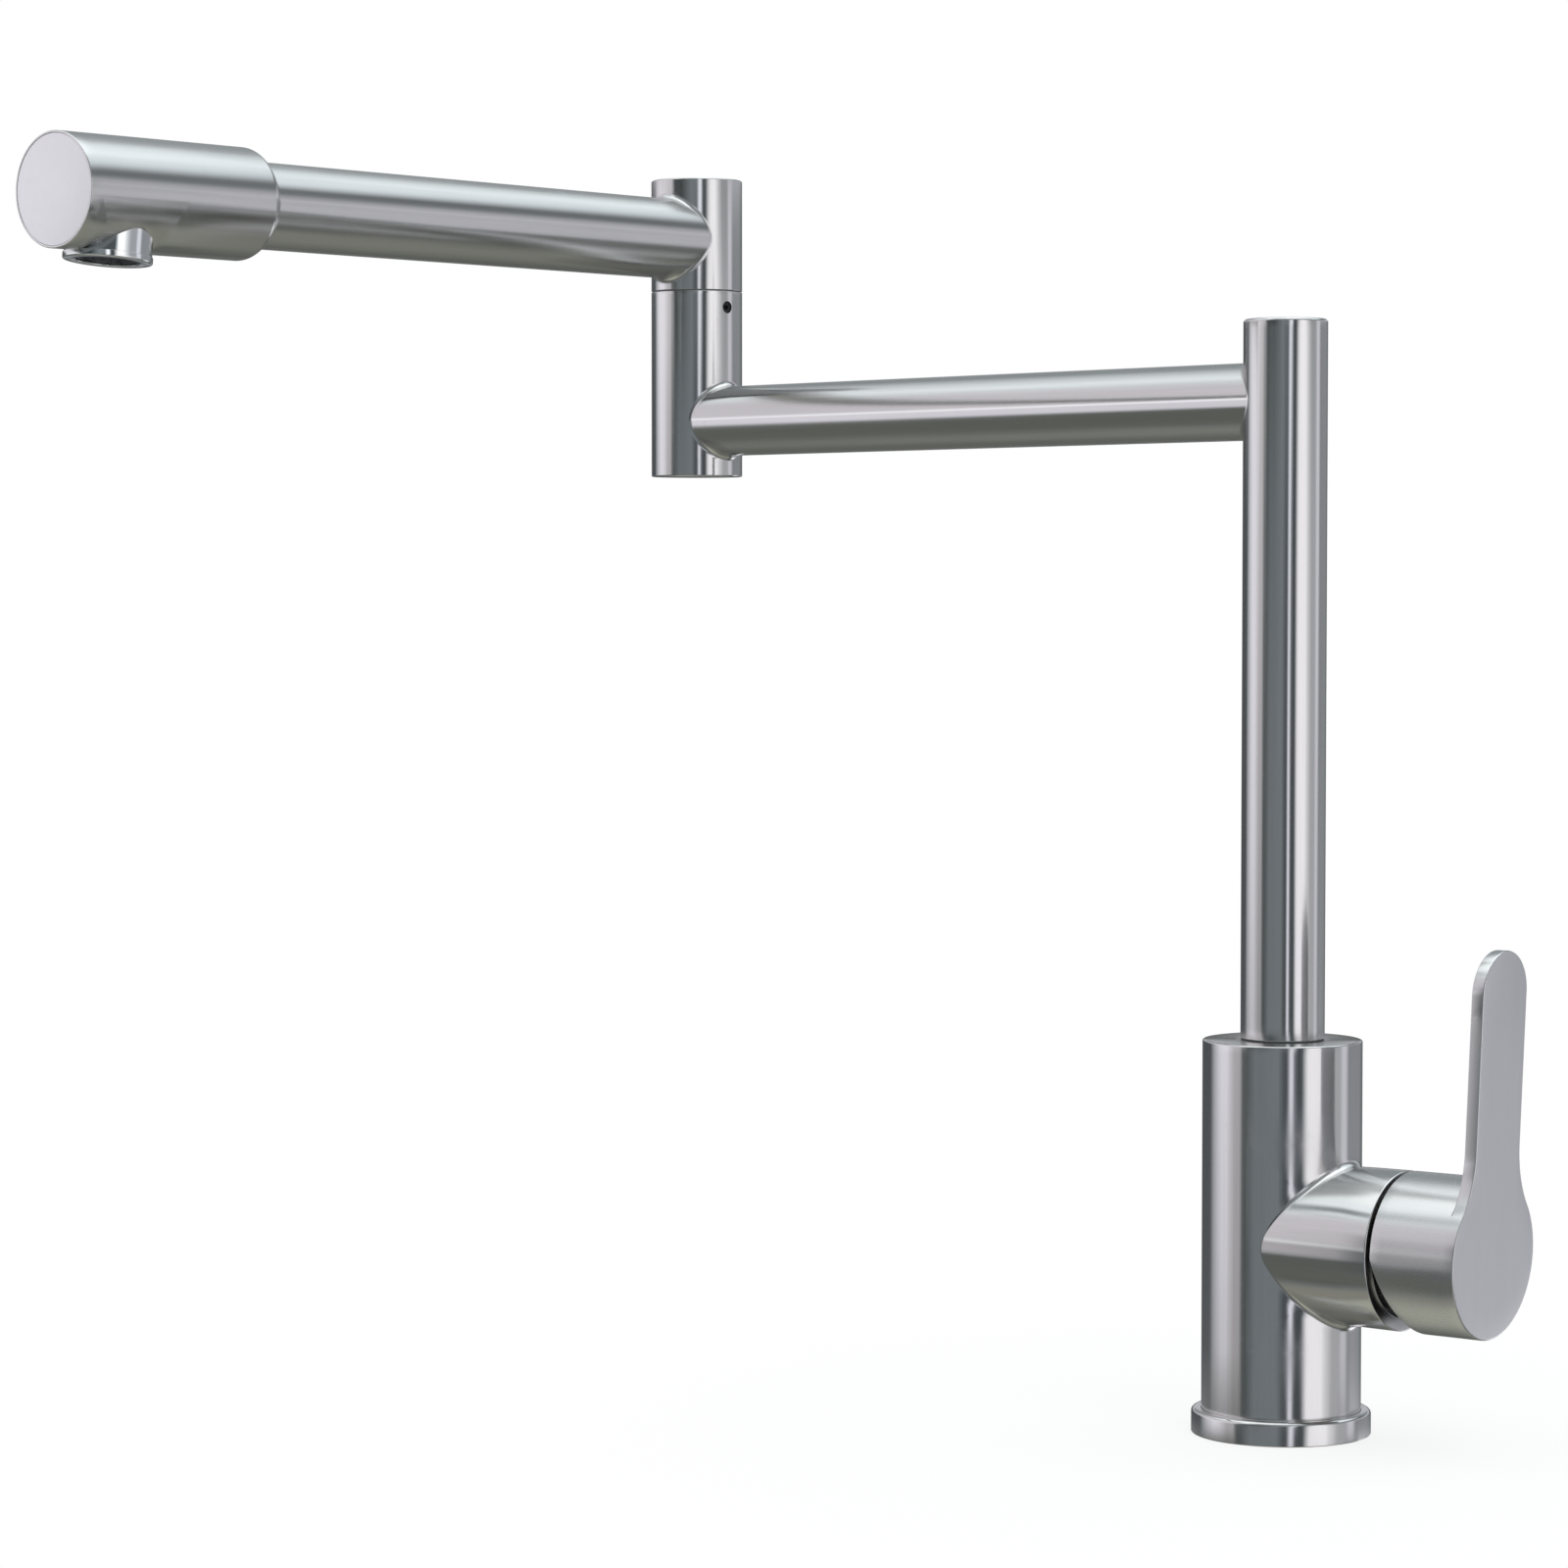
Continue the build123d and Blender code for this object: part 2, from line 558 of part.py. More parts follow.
# Upper half of the elbow, turning on its spigot
elbow_upper = elbow * pipe(elbow_r, elbow_bore_r, elbow_seam_z, elbow_top_z)
elbow_upper = fillet(elbow_upper.edges().group_by(Axis.Z)[-1].sort_by(SortBy.LENGTH)[-1], elbow_edge)
parts["elbow_upper_tube"] = elbow_upper - upper_arm * rod(upper_arm_bore_r, 0, 2 * elbow_r)
parts["elbow_top_cap"] = elbow * rod(elbow_bore_r - snug, elbow_top_z - elbow_cap_t, elbow_top_z)
elbow_spigot = rod(elbow_spigot_r, elbow_seam_z - elbow_spigot_depth, elbow_seam_z)
elbow_spigot -= spigot_grooves(elbow_spigot_r, elbow_seam_z, elbow_keep_drop)
elbow_spigot += rod(elbow_bore_r - snug, elbow_seam_z, elbow_seam_z + elbow_flange_t)
elbow_spigot -= rod(elbow_spigot_bore_d / 2, 0, elbow_top_z)
parts["elbow_spigot"] = elbow * elbow_spigot
elbow_seals = spigot_seals(elbow_spigot_r, elbow_seam_z, elbow_keep_drop)
parts["elbow_seals"] = Compound(children=[elbow * ring for ring in elbow_seals])
parts["elbow_slip_ring"] = elbow * pipe(
    elbow_r - slip_inset, elbow_spigot_r + snug, elbow_socket_top_z + film, elbow_seam_z
)

# Upper arm and spout head
arm_end_t = shoulder_start_t + arm_engagement
parts["upper_arm_tube"] = upper_arm * arm_with_welds(arm_end_t, upper_arm_r, upper_arm_bore_r, elbow_r, None)
neck_r = upper_arm_r + shoulder_lip
head_line = Polyline(
    (0, shoulder_start_t),
    (neck_r, shoulder_start_t),
    (head_r, head_start_t),
    (head_r, spout_reach),
    (0, spout_reach),
    close=True,
)
head_face = make_face(head_line)
shoulder_edge = head_face.vertices().sort_by_distance(Vector(head_r, head_start_t))[0]
head_face = fillet(shoulder_edge, shoulder_round)
head = revolve(Plane.XZ * head_face, Axis.Z)
head = chamfer(head.edges().group_by(Axis.Z)[-1], end_rim_chamfer)
head -= rod(upper_arm_r + snug, shoulder_start_t, arm_end_t)
head -= rod(head_bore_r, arm_end_t, spout_reach)
head -= rod(head_r - end_rim_w, spout_reach - end_disc_t, spout_reach)
head = upper_arm * head
parts["spout_head"] = head - aerator * rod(aerator_hole_r, -2 * head_r, 0)
end_cap = rod(head_bore_r - snug, end_plug_start_t, spout_reach - end_disc_t)
end_cap += rod(head_r - end_rim_w - snug, spout_reach - end_disc_t, spout_reach)
parts["spout_end_cap"] = upper_arm * end_cap

# Aerator and the socket it screws into
washer_top = aerator_socket_rise - aerator_washer_t
socket = rod(aerator_hole_r, -aerator_collar_drop, aerator_socket_rise)
socket -= rod(aerator_thread_r + running, -aerator_collar_drop, washer_top)
socket -= rod(aerator_thread_r - aerator_lip_w, -aerator_collar_drop, aerator_socket_rise)
socket = aerator * socket
parts["aerator_socket"] = socket & upper_arm * rod(head_bore_r - snug, arm_end_t, end_plug_start_t)
housing_top = washer_top - aerator_washer_t
parts["aerator_washer"] = aerator * pipe(
    aerator_thread_r, aerator_thread_r - aerator_lip_w, housing_top, washer_top
)
insert_r = aerator_thread_r - aerator_wall
aerator_foot = -aerator_drop
rim_top = aerator_foot + aerator_rim_h
housing_body = rod(aerator_r + aerator_rim_step, aerator_foot, rim_top)
housing_body = fillet(housing_body.edges().group_by(Axis.Z)[0], aerator_edge)
housing_body += rod(aerator_r, aerator_foot, -aerator_collar_drop)
housing_body += rod(aerator_thread_r, -aerator_collar_drop, housing_top)
housing_body -= rod(insert_r, aerator_foot + aerator_foot_t, housing_top)
housing_body -= rod(insert_r - aerator_foot_t, aerator_foot, housing_top)
flat = Pos(0, (aerator_flats + aerator_r) / 2) * block(2 * aerator_r, aerator_r, rim_top, -aerator_collar_drop)
for turn in (0, 180):
    housing_body -= Rot(0, 0, aerator_flat_turn + turn) * flat
parts["aerator_housing"] = aerator * housing_body
insert_foot = aerator_foot + aerator_foot_t
insert = rod(insert_r - snug, insert_foot, housing_top)
insert -= rod(insert_r - insert_wall, insert_foot + insert_plate_t, housing_top)
cell = extrude(RegularPolygon(honeycomb_pitch - honeycomb_bar, 6, major_radius=False), insert_plate_t)
row_pitch = honeycomb_pitch * sin(radians(60))
cells = []
for row in range(-honeycomb_rings, honeycomb_rings + 1):
    for column in range(-honeycomb_rings, honeycomb_rings + 1):
        if abs(row + column) <= honeycomb_rings:
            x = honeycomb_pitch * (column + row / 2)
            y = row_pitch * row
            cells.append(Pos(x, y, insert_foot) * cell)
parts["aerator_insert"] = aerator * (insert - cells)

os.makedirs("parts", exist_ok=True)
for name, shape in parts.items():
    export_step(shape, f"parts/{name}.step")
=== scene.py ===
import logging
from dataclasses import dataclass
from enum import Enum
from math import cos, radians, sin, sqrt, tan
from typing import Callable, Optional, Sequence

import bpy
import numpy as np
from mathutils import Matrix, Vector


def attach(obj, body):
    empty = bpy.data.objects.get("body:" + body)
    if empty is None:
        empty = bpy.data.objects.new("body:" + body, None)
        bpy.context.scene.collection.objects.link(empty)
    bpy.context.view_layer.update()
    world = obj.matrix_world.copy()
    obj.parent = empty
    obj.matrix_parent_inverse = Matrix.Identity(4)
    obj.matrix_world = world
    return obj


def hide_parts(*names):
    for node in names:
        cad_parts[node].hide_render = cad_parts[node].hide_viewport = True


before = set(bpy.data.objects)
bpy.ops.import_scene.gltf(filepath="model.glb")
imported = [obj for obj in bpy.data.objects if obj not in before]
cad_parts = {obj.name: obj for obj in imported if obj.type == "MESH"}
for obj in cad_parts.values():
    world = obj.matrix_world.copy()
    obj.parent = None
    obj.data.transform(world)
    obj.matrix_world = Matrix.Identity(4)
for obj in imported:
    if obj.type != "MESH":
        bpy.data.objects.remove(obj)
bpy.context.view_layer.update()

# Looks of a folding kitchen mixer tap. Sizes are in millimetres and degrees until a mesh is made.

log = logging.getLogger("mixer_tap")
Array = np.ndarray
Point = tuple[float, float, float]
Corners = Sequence[tuple[float, ...]]
Rim = Callable[[Array, float], tuple[Array, Array]]
Socket = bpy.types.NodeSocket
MM = 0.001
TURN_STEPS, ARC_STEPS, WELD_STEPS, PATCH_RINGS, HALVINGS = 360, 7, 14, 10, 60
SHARP_ANGLE = 32.0
WELD_GRID, ON_WALL, TINY = 1.0e-4, 1.0e-6, 1.0e-9
# Added to every lay of brushing, so that a place with none still has a direction.
LEAST_LAY = (0.002, 0.003, 0.005)
HAIR_EDGE, FINE_EDGE, SMALL_EDGE, BROKEN_EDGE = 0.12, 0.2, 0.25, 0.3
ARM_REACH, ARM_AZIMUTH, ELBOW_R = 262.2, 170.6, 15.25
ELBOW_X, ELBOW_Y = ARM_REACH * cos(radians(ARM_AZIMUTH)), ARM_REACH * sin(radians(ARM_AZIMUTH))


class Body(str, Enum):
    """Bodies of the tap that pieces move with."""

    BASE = "base"
    RISER = "riser"
    SPOUT = "spout"
    LEVER = "lever"


class GrainSource(Enum):
    """Where a finish reads the run of its grain."""

    SURFACE = "surface"
    OBJECT = "object"


@dataclass(frozen=True)
class Stand:
    """Place of a piece: Z upright or, with an azimuth, Z level at that azimuth and Y up."""

    origin: Point
    azimuth: Optional[float] = None

    def place(self, local: Array) -> Array:
        """Turns and moves local points into the tap's frame.

        Args:
            local: points, with the coordinates in the last axis.
        Returns:
            The points in the tap's frame.
        """
        axes = np.eye(3)
        if self.azimuth is not None:
            c, s = cos(radians(self.azimuth)), sin(radians(self.azimuth))
            axes = np.array([[-s, c, 0.0], [0.0, 0.0, 1.0], [c, s, 0.0]])
        return local @ axes + np.array(self.origin)


UPRIGHT = Stand((0.0, 0.0, 0.0))


class Skin:
    """Closed surface of one piece, gathered from grids that meet point on point."""

    def __init__(self) -> None:
        """Starts with no points."""
        self.points: list[Array] = []
        self.grain: list[Array] = []
        self.lay: list[Array] = []
        self.quads: list[Array] = []
        self.count = 0

    def add(self, points: Array, grain: Array, close_rows: bool = False, close_cols: bool = False,
            keep: Optional[Array] = None) -> None:
        """Adds a grid of points and its quads.

        The lay of the brushing is the direction in which the third grain coordinate grows: over the grid's
        two directions, the sum of its growth times the step, over the step's length squared.

        Args:
            points: grid of points, rows by columns by 3.
            grain: grain coordinates of the same shape.
            close_rows: joins the last row to the first.
            close_cols: joins the last column to the first.
            keep: mask of the quads that stay, by their lower row and column.
        """
        rows, cols = points.shape[:2]
        i = np.arange(rows if close_rows else rows - 1)[:, None]
        j = np.arange(cols if close_cols else cols - 1)
        here, below, after = i * cols, (i + 1) % rows * cols, (j + 1) % cols
        quads = np.stack([here + j, below + j, below + after, here + after], axis=-1)
        if keep is not None:
            quads = quads[keep]
        growth, steps = np.gradient(grain[..., 2]), np.gradient(points, axis=(0, 1))
        lay = sum(
            g[..., None] * s / ((s**2).sum(axis=-1, keepdims=True) + TINY) for g, s in zip(growth, steps)
        )
        self.quads.append(quads.reshape(-1, 4) + self.count)
        self.points.append(points.reshape(-1, 3))
        self.grain.append(grain.reshape(-1, 3))
        self.lay.append(lay.reshape(-1, 3))
        self.count += rows * cols

    def pit(self, rim: Array, share: float) -> None:
        """Closes a round hole with a wall and a floor.

        Args:
            rim: points of the hole's edge.
            share: distance of the floor from the piece's axis as a share of the rim's.
        """
        bottom = rim * np.array([share, share, 1.0])
        floor = np.broadcast_to(bottom.mean(axis=0), rim.shape)
        self.add(np.stack([rim, bottom, floor]), np.zeros((3, len(rim), 3)), close_cols=True)

    def mesh(self, name: str, stand: Stand) -> bpy.types.Mesh:
        """Mesh of the gathered grids, with meeting points welded and faces outwards.

        Points that agree to a ten-thousandth of a millimetre become one. A quad with two corners in one place
        becomes a triangle. The sum of corner triple products, which is six times the enclosed volume, says
        whether the faces point outwards.

        Args:
            name: the mesh's name.
            stand: place of the piece.
        Returns:
            The new mesh, in metres.
        """
        points, grain, lay = (np.concatenate(rows) for rows in (self.points, self.grain, self.lay))
        keys = np.round(points / WELD_GRID).astype(np.int64)
        _, first, index = np.unique(keys, axis=0, return_index=True, return_inverse=True)
        points, grain, lay = points[first], grain[first], lay[first]
        quads = index.reshape(-1)[np.concatenate(self.quads)]
        same = quads == np.roll(quads, -1, axis=1)
        once = same.sum(axis=1) == 1
        whole = quads[(~same.any(axis=1)) & (quads[:, 0] != quads[:, 2]) & (quads[:, 1] != quads[:, 3])]
        rest = (np.argmax(same[once], axis=1)[:, None] + np.array([1, 2, 3])) % 4
        corners = np.take_along_axis(quads[once], rest, axis=1)
        p = stand.place(points) * MM
        fans = np.concatenate([whole[:, [0, 1, 2]], whole[:, [0, 2, 3]], corners])
        a, b, c = (p[fans[:, k]] for k in range(3))
        if np.einsum("ij,ij->", a, np.cross(b, c)) < 0:
            whole, corners = whole[:, ::-1], corners[:, ::-1]
        mesh = bpy.data.meshes.new(name)
        mesh.from_pydata(p.tolist(), [], whole.tolist() + corners.tolist())
        lay = stand.place(points + lay) - stand.place(points) + LEAST_LAY
        for kind, values in (("grain", grain), ("lay", lay)):
            layer = mesh.attributes.new(kind, "FLOAT_VECTOR", "POINT")
            layer.data.foreach_set("vector", values.astype(np.float32).ravel())
        mesh.validate()
        mesh.shade_smooth()
        mesh.set_sharp_from_angle(angle=radians(SHARP_ANGLE))
        return mesh


def cubic(
    start: Array, enter: Array, end: Array, leave: Array, radius: float, turn: Array, steps: int
) -> Array:
    """Rounding between two runs: the cubic curve with end handles of 4/3 radius tan(turn / 4).

    Args:
        start: where it leaves the first run.
        enter: direction of the first run.
        end: where it joins the second run.
        leave: direction of the second run.
        radius: radius of the rounding.
        turn: angle between the runs.
        steps: pieces of the curve.
    Returns:
        Points of the curve, in the first axis.
    """
    t = np.linspace(0.0, 1.0, steps + 1).reshape(-1, *[1] * start.ndim)
    handle = 4.0 / 3.0 * radius * np.tan(turn / 4)
    from_start, to_end = start + enter * handle, end - leave * handle
    return (1 - t) ** 3 * start + 3 * (1 - t) ** 2 * t * from_start + 3 * (1 - t) * t**2 * to_end + t**3 * end


def rounded(corners: Corners) -> Array:
    """Line of straight runs with rounded corners.

    A corner of radius q between two runs that turn by an angle a starts q tan(a / 2) before the corner.

    Args:
        corners: radius from the axis, height and, unless it is sharp, rounding of each corner.
    Returns:
        Points (radius, height) of the line.
    """
    nodes = np.array([(*corner, 0.0)[:3] for corner in corners], float)
    line = [nodes[:1, :2]]
    for before, here, after in zip(nodes[:-2], nodes[1:-1], nodes[2:]):
        if here[2] <= 0.0:
            line.append(here[None, :2])
            continue
        enter, leave = (step[:2] / np.hypot(*step[:2]) for step in (here - before, after - here))
        turn = np.arccos(np.clip(enter @ leave, -1.0, 1.0))
        reach = here[2] * tan(turn / 2)
        start, end = here[:2] - enter * reach, here[:2] + leave * reach
        line.append(cubic(start, enter, end, leave, here[2], turn, ARC_STEPS))
    return np.concatenate([*line, nodes[-1:, :2]])


def run(radius: float, start: float, end: float, steps: int) -> list[tuple[float, float]]:
    """Evenly spaced sharp corners along a wall, for the window of a hole."""
    return [(radius, float(z)) for z in np.linspace(start, end, steps + 1)]


def along(line: Array) -> Array:
    """Length along a line up to each of its points."""
    return np.concatenate([[0.0], np.cumsum(np.hypot(*np.diff(line, axis=0).T))])


def turned(line: Array, radius: Optional[Array] = None) -> tuple[Array, Array]:
    """Surface swept by a line that turns about the Z axis.

    At angle a and line point (r, z) the surface is at (r cos a, r sin a, z), and its grain coordinates are
    (r cos a, r sin a, length along the line), so that grain runs along.

    Args:
        line: points (r, z).
        radius: radii in place of the line's, angle by line point.
    Returns:
        Grid of points and grid of grain coordinates, angle by line point.
    """
    angle = 2.0 * np.pi * np.arange(TURN_STEPS)[:, None] / TURN_STEPS
    r = line[:, 0] if radius is None else radius
    x, y = r * np.cos(angle), r * np.sin(angle)
    points, grain = (np.dstack(np.broadcast_arrays(x, y, third)) for third in (line[:, 1], along(line)))
    return points, grain


def turning(line: Array) -> Skin:
    """Surface of a turned piece.

    Args:
        line: points (r, z), which come back to the first one or start and end on the axis.
    Returns:
        The closed surface.
    """
    skin = Skin()
    skin.add(*turned(line), close_rows=True, close_cols=bool(line[0, 0] > 0.0))
    return skin


@dataclass(frozen=True)
class Window:
    """Part of a turned wall, by its middle angle and heights, that makes room for an opening."""

    angle: int
    half_angle: int
    low: float
    high: float


class DrilledTurning:
    """Turned surface whose walls get openings."""

    def __init__(self, line: Array) -> None:
        """Turns the line and keeps all of its walls.

        Args:
            line: points (r, z), which come back to the first one.
        """
        self.line, self.skin = line, Skin()
        self.points, self.grain = turned(line)
        self.keep = np.ones(self.points.shape[:2], bool)

    def pierce(self, window: Window, wall: float, rim: Rim) -> tuple[Array, Array]:
        """Clears a window and adds the patch between its edge and the opening's rim.

        Each point of the window's edge has a bearing b, whose tangent is its angle from the middle over its
        height from the middle, each as a share of the window's half. The patch runs straight, in angle and
        height, from the edge to the rim's point of the same bearing.

        Args:
            window: the part of the wall.
            wall: radius of the wall.
            rim: angle and height of the rim for each bearing and wall radius.
        Returns:
            The bearings, and the rim's points.
        """
        line = self.line
        inside = (line[:, 1] > window.low - ON_WALL) & (line[:, 1] < window.high + ON_WALL)
        j = np.flatnonzero(inside & (np.abs(line[:, 0] - wall) < ON_WALL))
        i = np.arange(window.angle - window.half_angle, window.angle + window.half_angle + 1)
        self.keep[np.ix_(i[:-1] % TURN_STEPS, j[:-1])] = False
        wide, tall = np.ones(len(i) - 1, int), np.ones(len(j) - 1, int)
        edge_i = np.concatenate([i[:-1], i[-1] * tall, i[:0:-1], i[0] * tall])
        edge_j = np.concatenate([j[0] * wide, j[:-1], j[-1] * wide, j[:0:-1]])
        middle, half = (window.low + window.high) / 2, (window.high - window.low) / 2
        angle, height = np.radians(edge_i.astype(float)), line[edge_j, 1]
        bearing = np.arctan2((edge_i - window.angle) / window.half_angle, (height - middle) / half)
        rim_angle, rim_height = rim(bearing, wall)
        share = np.linspace(0.0, 1.0, PATCH_RINGS + 1)[:, None]
        a = angle + (rim_angle + radians(window.angle) - angle) * share
        z = height + (rim_height - height) * share
        points = np.stack([wall * np.cos(a), wall * np.sin(a), z], axis=-1)
        length = along(line)[j[0]] + np.abs(z - line[j[0], 1])
        self.skin.add(points, np.dstack([points[..., :2], length]), close_cols=True)
        return bearing, points[-1]

    def closed(self) -> Skin:
        """Surface with what is left of the walls."""
        self.skin.add(self.points, self.grain, close_rows=True, close_cols=True, keep=self.keep)
        return self.skin


def drilled(radius: float, height: float, lean: float = 0.0, pivot: float = 0.0) -> Rim:
    """Rim of a round hole drilled into a wall, square to it or leaning along it.

    At bearing b the hole's edge is radius sin b to the side and radius cos b / cos lean along the wall's
    axis. A wall of radius w holds the side step at the angle whose sine is the step over w. The edge moves
    back by its distance inside the pivot, measured along the drill, times the tangent of the lean.

    Args:
        radius: the drill's radius.
        height: height of its axis at the pivot.
        lean: lean of its axis.
        pivot: distance of the pivot from the wall's axis.
    Returns:
        The rim, as a function of bearing and wall radius.
    """

    def rim(bearing: Array, wall: float) -> tuple[Array, Array]:
        """Edge of the hole on one wall.

        Args:
            bearing: bearings round the drill's axis.
            wall: radius of the wall.
        Returns:
            Angle and height of the edge at each bearing.
        """
        side = radius * np.sin(bearing)
        rise = (pivot - np.sqrt(wall**2 - side**2)) * tan(radians(lean))
        return np.arcsin(side / wall), height + radius * np.cos(bearing) / cos(radians(lean)) - rise

    return rim


@dataclass(frozen=True)
class RootShape:
    """Wall of a round tube near its post: an inward arc up to round_start, and straight beyond it."""

    full: float
    round_start: float = 0.0
    round_radius: float = 1.0

    def fall(self, t: Array) -> tuple[Array, Array]:
        """Distance s of t short of round_start, and sqrt(q² - s²) for the arc's radius q."""
        short = np.clip(self.round_start - t, 0.0, None)
        return short, np.sqrt(self.round_radius**2 - short**2)

    def radius(self, t: Array) -> Array:
        """Radius at a distance t from the post's axis: full less q - sqrt(q² - s²)."""
        return self.full - self.round_radius + self.fall(t)[1]

    def slope(self, t: Array) -> Array:
        """Rise of the radius with t: s / sqrt(q² - s²)."""
        return np.divide(*self.fall(t))


def weld_root(post: float, tube: RootShape, bearing: Array, weld: float) -> tuple[Array, Array]:
    """Rounded weld from a post's wall to the wall of a tube that stands square to it.

    In the half plane at bearing b the post's wall is t² + (r sin b)² = post², and the tube's wall is r(t).
    Halving finds where they meet. From there the weld reaches weld tan(a / 2) along each wall, where a is
    the angle between them.

    Args:
        post: radius of the post.
        tube: wall of the tube.
        bearing: bearings round the tube's axis.
        weld: radius of the weld.
    Returns:
        Distance t from the post's axis and radius r, each curve point by bearing.
    """
    side = np.sin(bearing) ** 2
    low, high = np.zeros_like(bearing), np.full_like(bearing, post)
    for _ in range(HALVINGS):
        middle = (low + high) / 2
        outside = middle**2 + tube.radius(middle) ** 2 * side > post**2
        high, low = np.where(outside, middle, high), np.where(outside, low, middle)

    def runs(t_post: Array, r_post: Array, t_tube: Array) -> tuple[Array, Array, Array]:
        """Directions (t, r) of the two walls.

        Args:
            t_post: distance t of the place on the post's wall.
            r_post: radius r of that place.
            t_tube: distance t of the place on the tube's wall.
        Returns:
            Directions down the post's wall and out along the tube's, and the angle between them.
        """
        enter = np.stack([r_post * side / t_post, -np.ones_like(r_post)])
        leave = np.stack([np.ones_like(t_tube), tube.slope(t_tube)])
        enter, leave = enter / np.hypot(*enter), leave / np.hypot(*leave)
        return enter, leave, np.arccos(np.clip((enter * leave).sum(axis=0), -1.0, 1.0))

    enter, leave, turn = runs(high, tube.radius(high), high)
    reach = weld * np.tan(turn / 2)
    r_post, t_tube = tube.radius(high) - reach * enter[1], high + reach * leave[0]
    t_post = np.sqrt(post**2 - r_post**2 * side)
    enter, leave, turn = runs(t_post, r_post, t_tube)
    start, end = np.stack([t_post, r_post]), np.stack([t_tube, tube.radius(t_tube)])
    curve = cubic(start, enter, end, leave, weld, turn, WELD_STEPS)
    return curve[:, 0], curve[:, 1]


def swept(t: Array, r: Array, bearing: Array) -> tuple[Array, Array]:
    """Surface of rings round the Z axis: at bearing b it is at (r sin b, r cos b, t).

    Args:
        t: height of each ring point, ring by bearing.
        r: radius of each ring point.
        bearing: bearings round the axis.
    Returns:
        Grid of points and of grain coordinates, ring by bearing.
    """
    x, y = r * np.sin(bearing), r * np.cos(bearing)
    step = np.hypot(np.diff(t, axis=0), np.diff(r, axis=0))
    length = np.concatenate([np.zeros_like(t[:1]), np.cumsum(step, axis=0)])
    return np.stack([x, y, t], axis=-1), np.stack([x, y, length], axis=-1)


def welded_arm(
    radius: float, bore: float, reach: float, posts: tuple[float, ...], weld: float, gap: float
) -> Skin:
    """Arm tube between two posts, or with a square end where there is no second post.

    Args:
        radius: outer radius of the arm.
        bore: radius of its bore.
        reach: distance between the posts' axes, or to the square end.
        posts: radius of the post at its start, and of the one at its end.
        weld: radius of the welds.
        gap: room between the arm and a post.
    Returns:
        The closed surface, swept along the arm.
    """
    bearing = 2.0 * np.pi * np.arange(TURN_STEPS) / TURN_STEPS
    face_steps, square_start = 4, reach - 2.0

    def end(post: float) -> tuple[Array, Array]:
        """Face on a post's wall from the bore out to the weld, and then the weld.

        Args:
            post: radius of the post.
        Returns:
            Distance t from the post's axis and radius r, ring by bearing.
        """
        t, r = weld_root(post, RootShape(radius), bearing, weld)
        face_r = bore + (r[0] - bore) * np.linspace(0.0, 1.0, face_steps + 1)[:-1, None]
        face_t = np.sqrt(post**2 - (face_r * np.sin(bearing)) ** 2)
        return np.concatenate([face_t, t]) + gap, np.concatenate([face_r, r])

    t, r = end(posts[0])
    if len(posts) > 1:
        t_end, r_end = end(posts[1])
        t_end, r_end = reach - t_end[::-1], r_end[::-1]
    else:
        square = rounded([(radius, square_start), (radius, reach, FINE_EDGE), (bore, reach)])
        r_end, t_end = (side[:, None] * np.ones_like(bearing) for side in square.T)
    grids = swept(np.concatenate([t, t_end]), np.concatenate([r, r_end]), bearing)
    skin = Skin()
    skin.add(*grids, close_rows=True, close_cols=True)
    return skin


class NodeBuilder:
    """Short way to add and link the nodes of one tree."""

    def __init__(self, tree: bpy.types.NodeTree) -> None:
        """Takes the tree that gets the nodes, and empties it."""
        self.tree = tree
        tree.nodes.clear()

    def add(self, kind: str, links: Optional[dict] = None, **settings: object) -> bpy.types.Node:
        """New node.

        Args:
            kind: the node's type name.
            links: for each input name or number, an output socket or a value.
            settings: attributes of the node.
        Returns:
            The node.
        """
        node = self.tree.nodes.new(kind)
        for key, value in settings.items():
            setattr(node, key, value)
        for key, value in (links or {}).items():
            if isinstance(value, Socket):
                self.tree.links.new(value, node.inputs[key])
            else:
                node.inputs[key].default_value = value
        return node

    def math(self, operation: str, first: object, second: object = 0.0) -> Socket:
        """Output of a Math node on two values or sockets."""
        return self.add("ShaderNodeMath", {0: first, 1: second}, operation=operation).outputs[0]

    def vector(
        self, operation: str, first: Socket, second: object = (0.0, 0.0, 0.0), out: str = "Vector"
    ) -> Socket:
        """Named output of a Vector Math node on two vectors or sockets."""
        return self.add("ShaderNodeVectorMath", {0: first, 1: second}, operation=operation).outputs[out]

    def noise(self, place: Socket, scale: object, detail: float, rough: float = 0.5) -> Socket:
        """Value of a Noise Texture node."""
        inputs = {"Vector": place, "Scale": scale, "Detail": detail, "Roughness": rough}
        return self.add("ShaderNodeTexNoise", inputs).outputs[0]

    def spread(self, value: Socket, low: float, high: float, start: float = 0.0, end: float = 1.0) -> Socket:
        """Output of a Map Range node, which takes low to start and high to end."""
        return self.add("ShaderNodeMapRange", {0: value, 1: low, 2: high, 3: start, 4: end}).outputs[0]

    def weighed(self, *parts: tuple[Socket, float]) -> Socket:
        """Sum of sockets that are each multiplied by a weight.

        Args:
            parts: each socket and its weight.
        Returns:
            The sum's socket.
        """
        total, *others = [self.math("MULTIPLY", *part) for part in parts]
        for other in others:
            total = self.math("ADD", total, other)
        return total

    def ramp(self, factor: Socket, stops: Sequence[tuple[float, Sequence[float]]]) -> Socket:
        """Output of a colour ramp.

        Args:
            factor: the socket that drives it.
            stops: position and colour of each stop, in order.
        Returns:
            The ramp's colour socket.
        """
        node = self.add("ShaderNodeValToRGB", {0: factor})
        elements = node.color_ramp.elements
        while len(elements) < len(stops):
            elements.new(1.0)
        for element, (position, colour) in zip(elements, stops):
            element.position, element.color = position, (*colour, 1.0)
        return node.outputs[0]


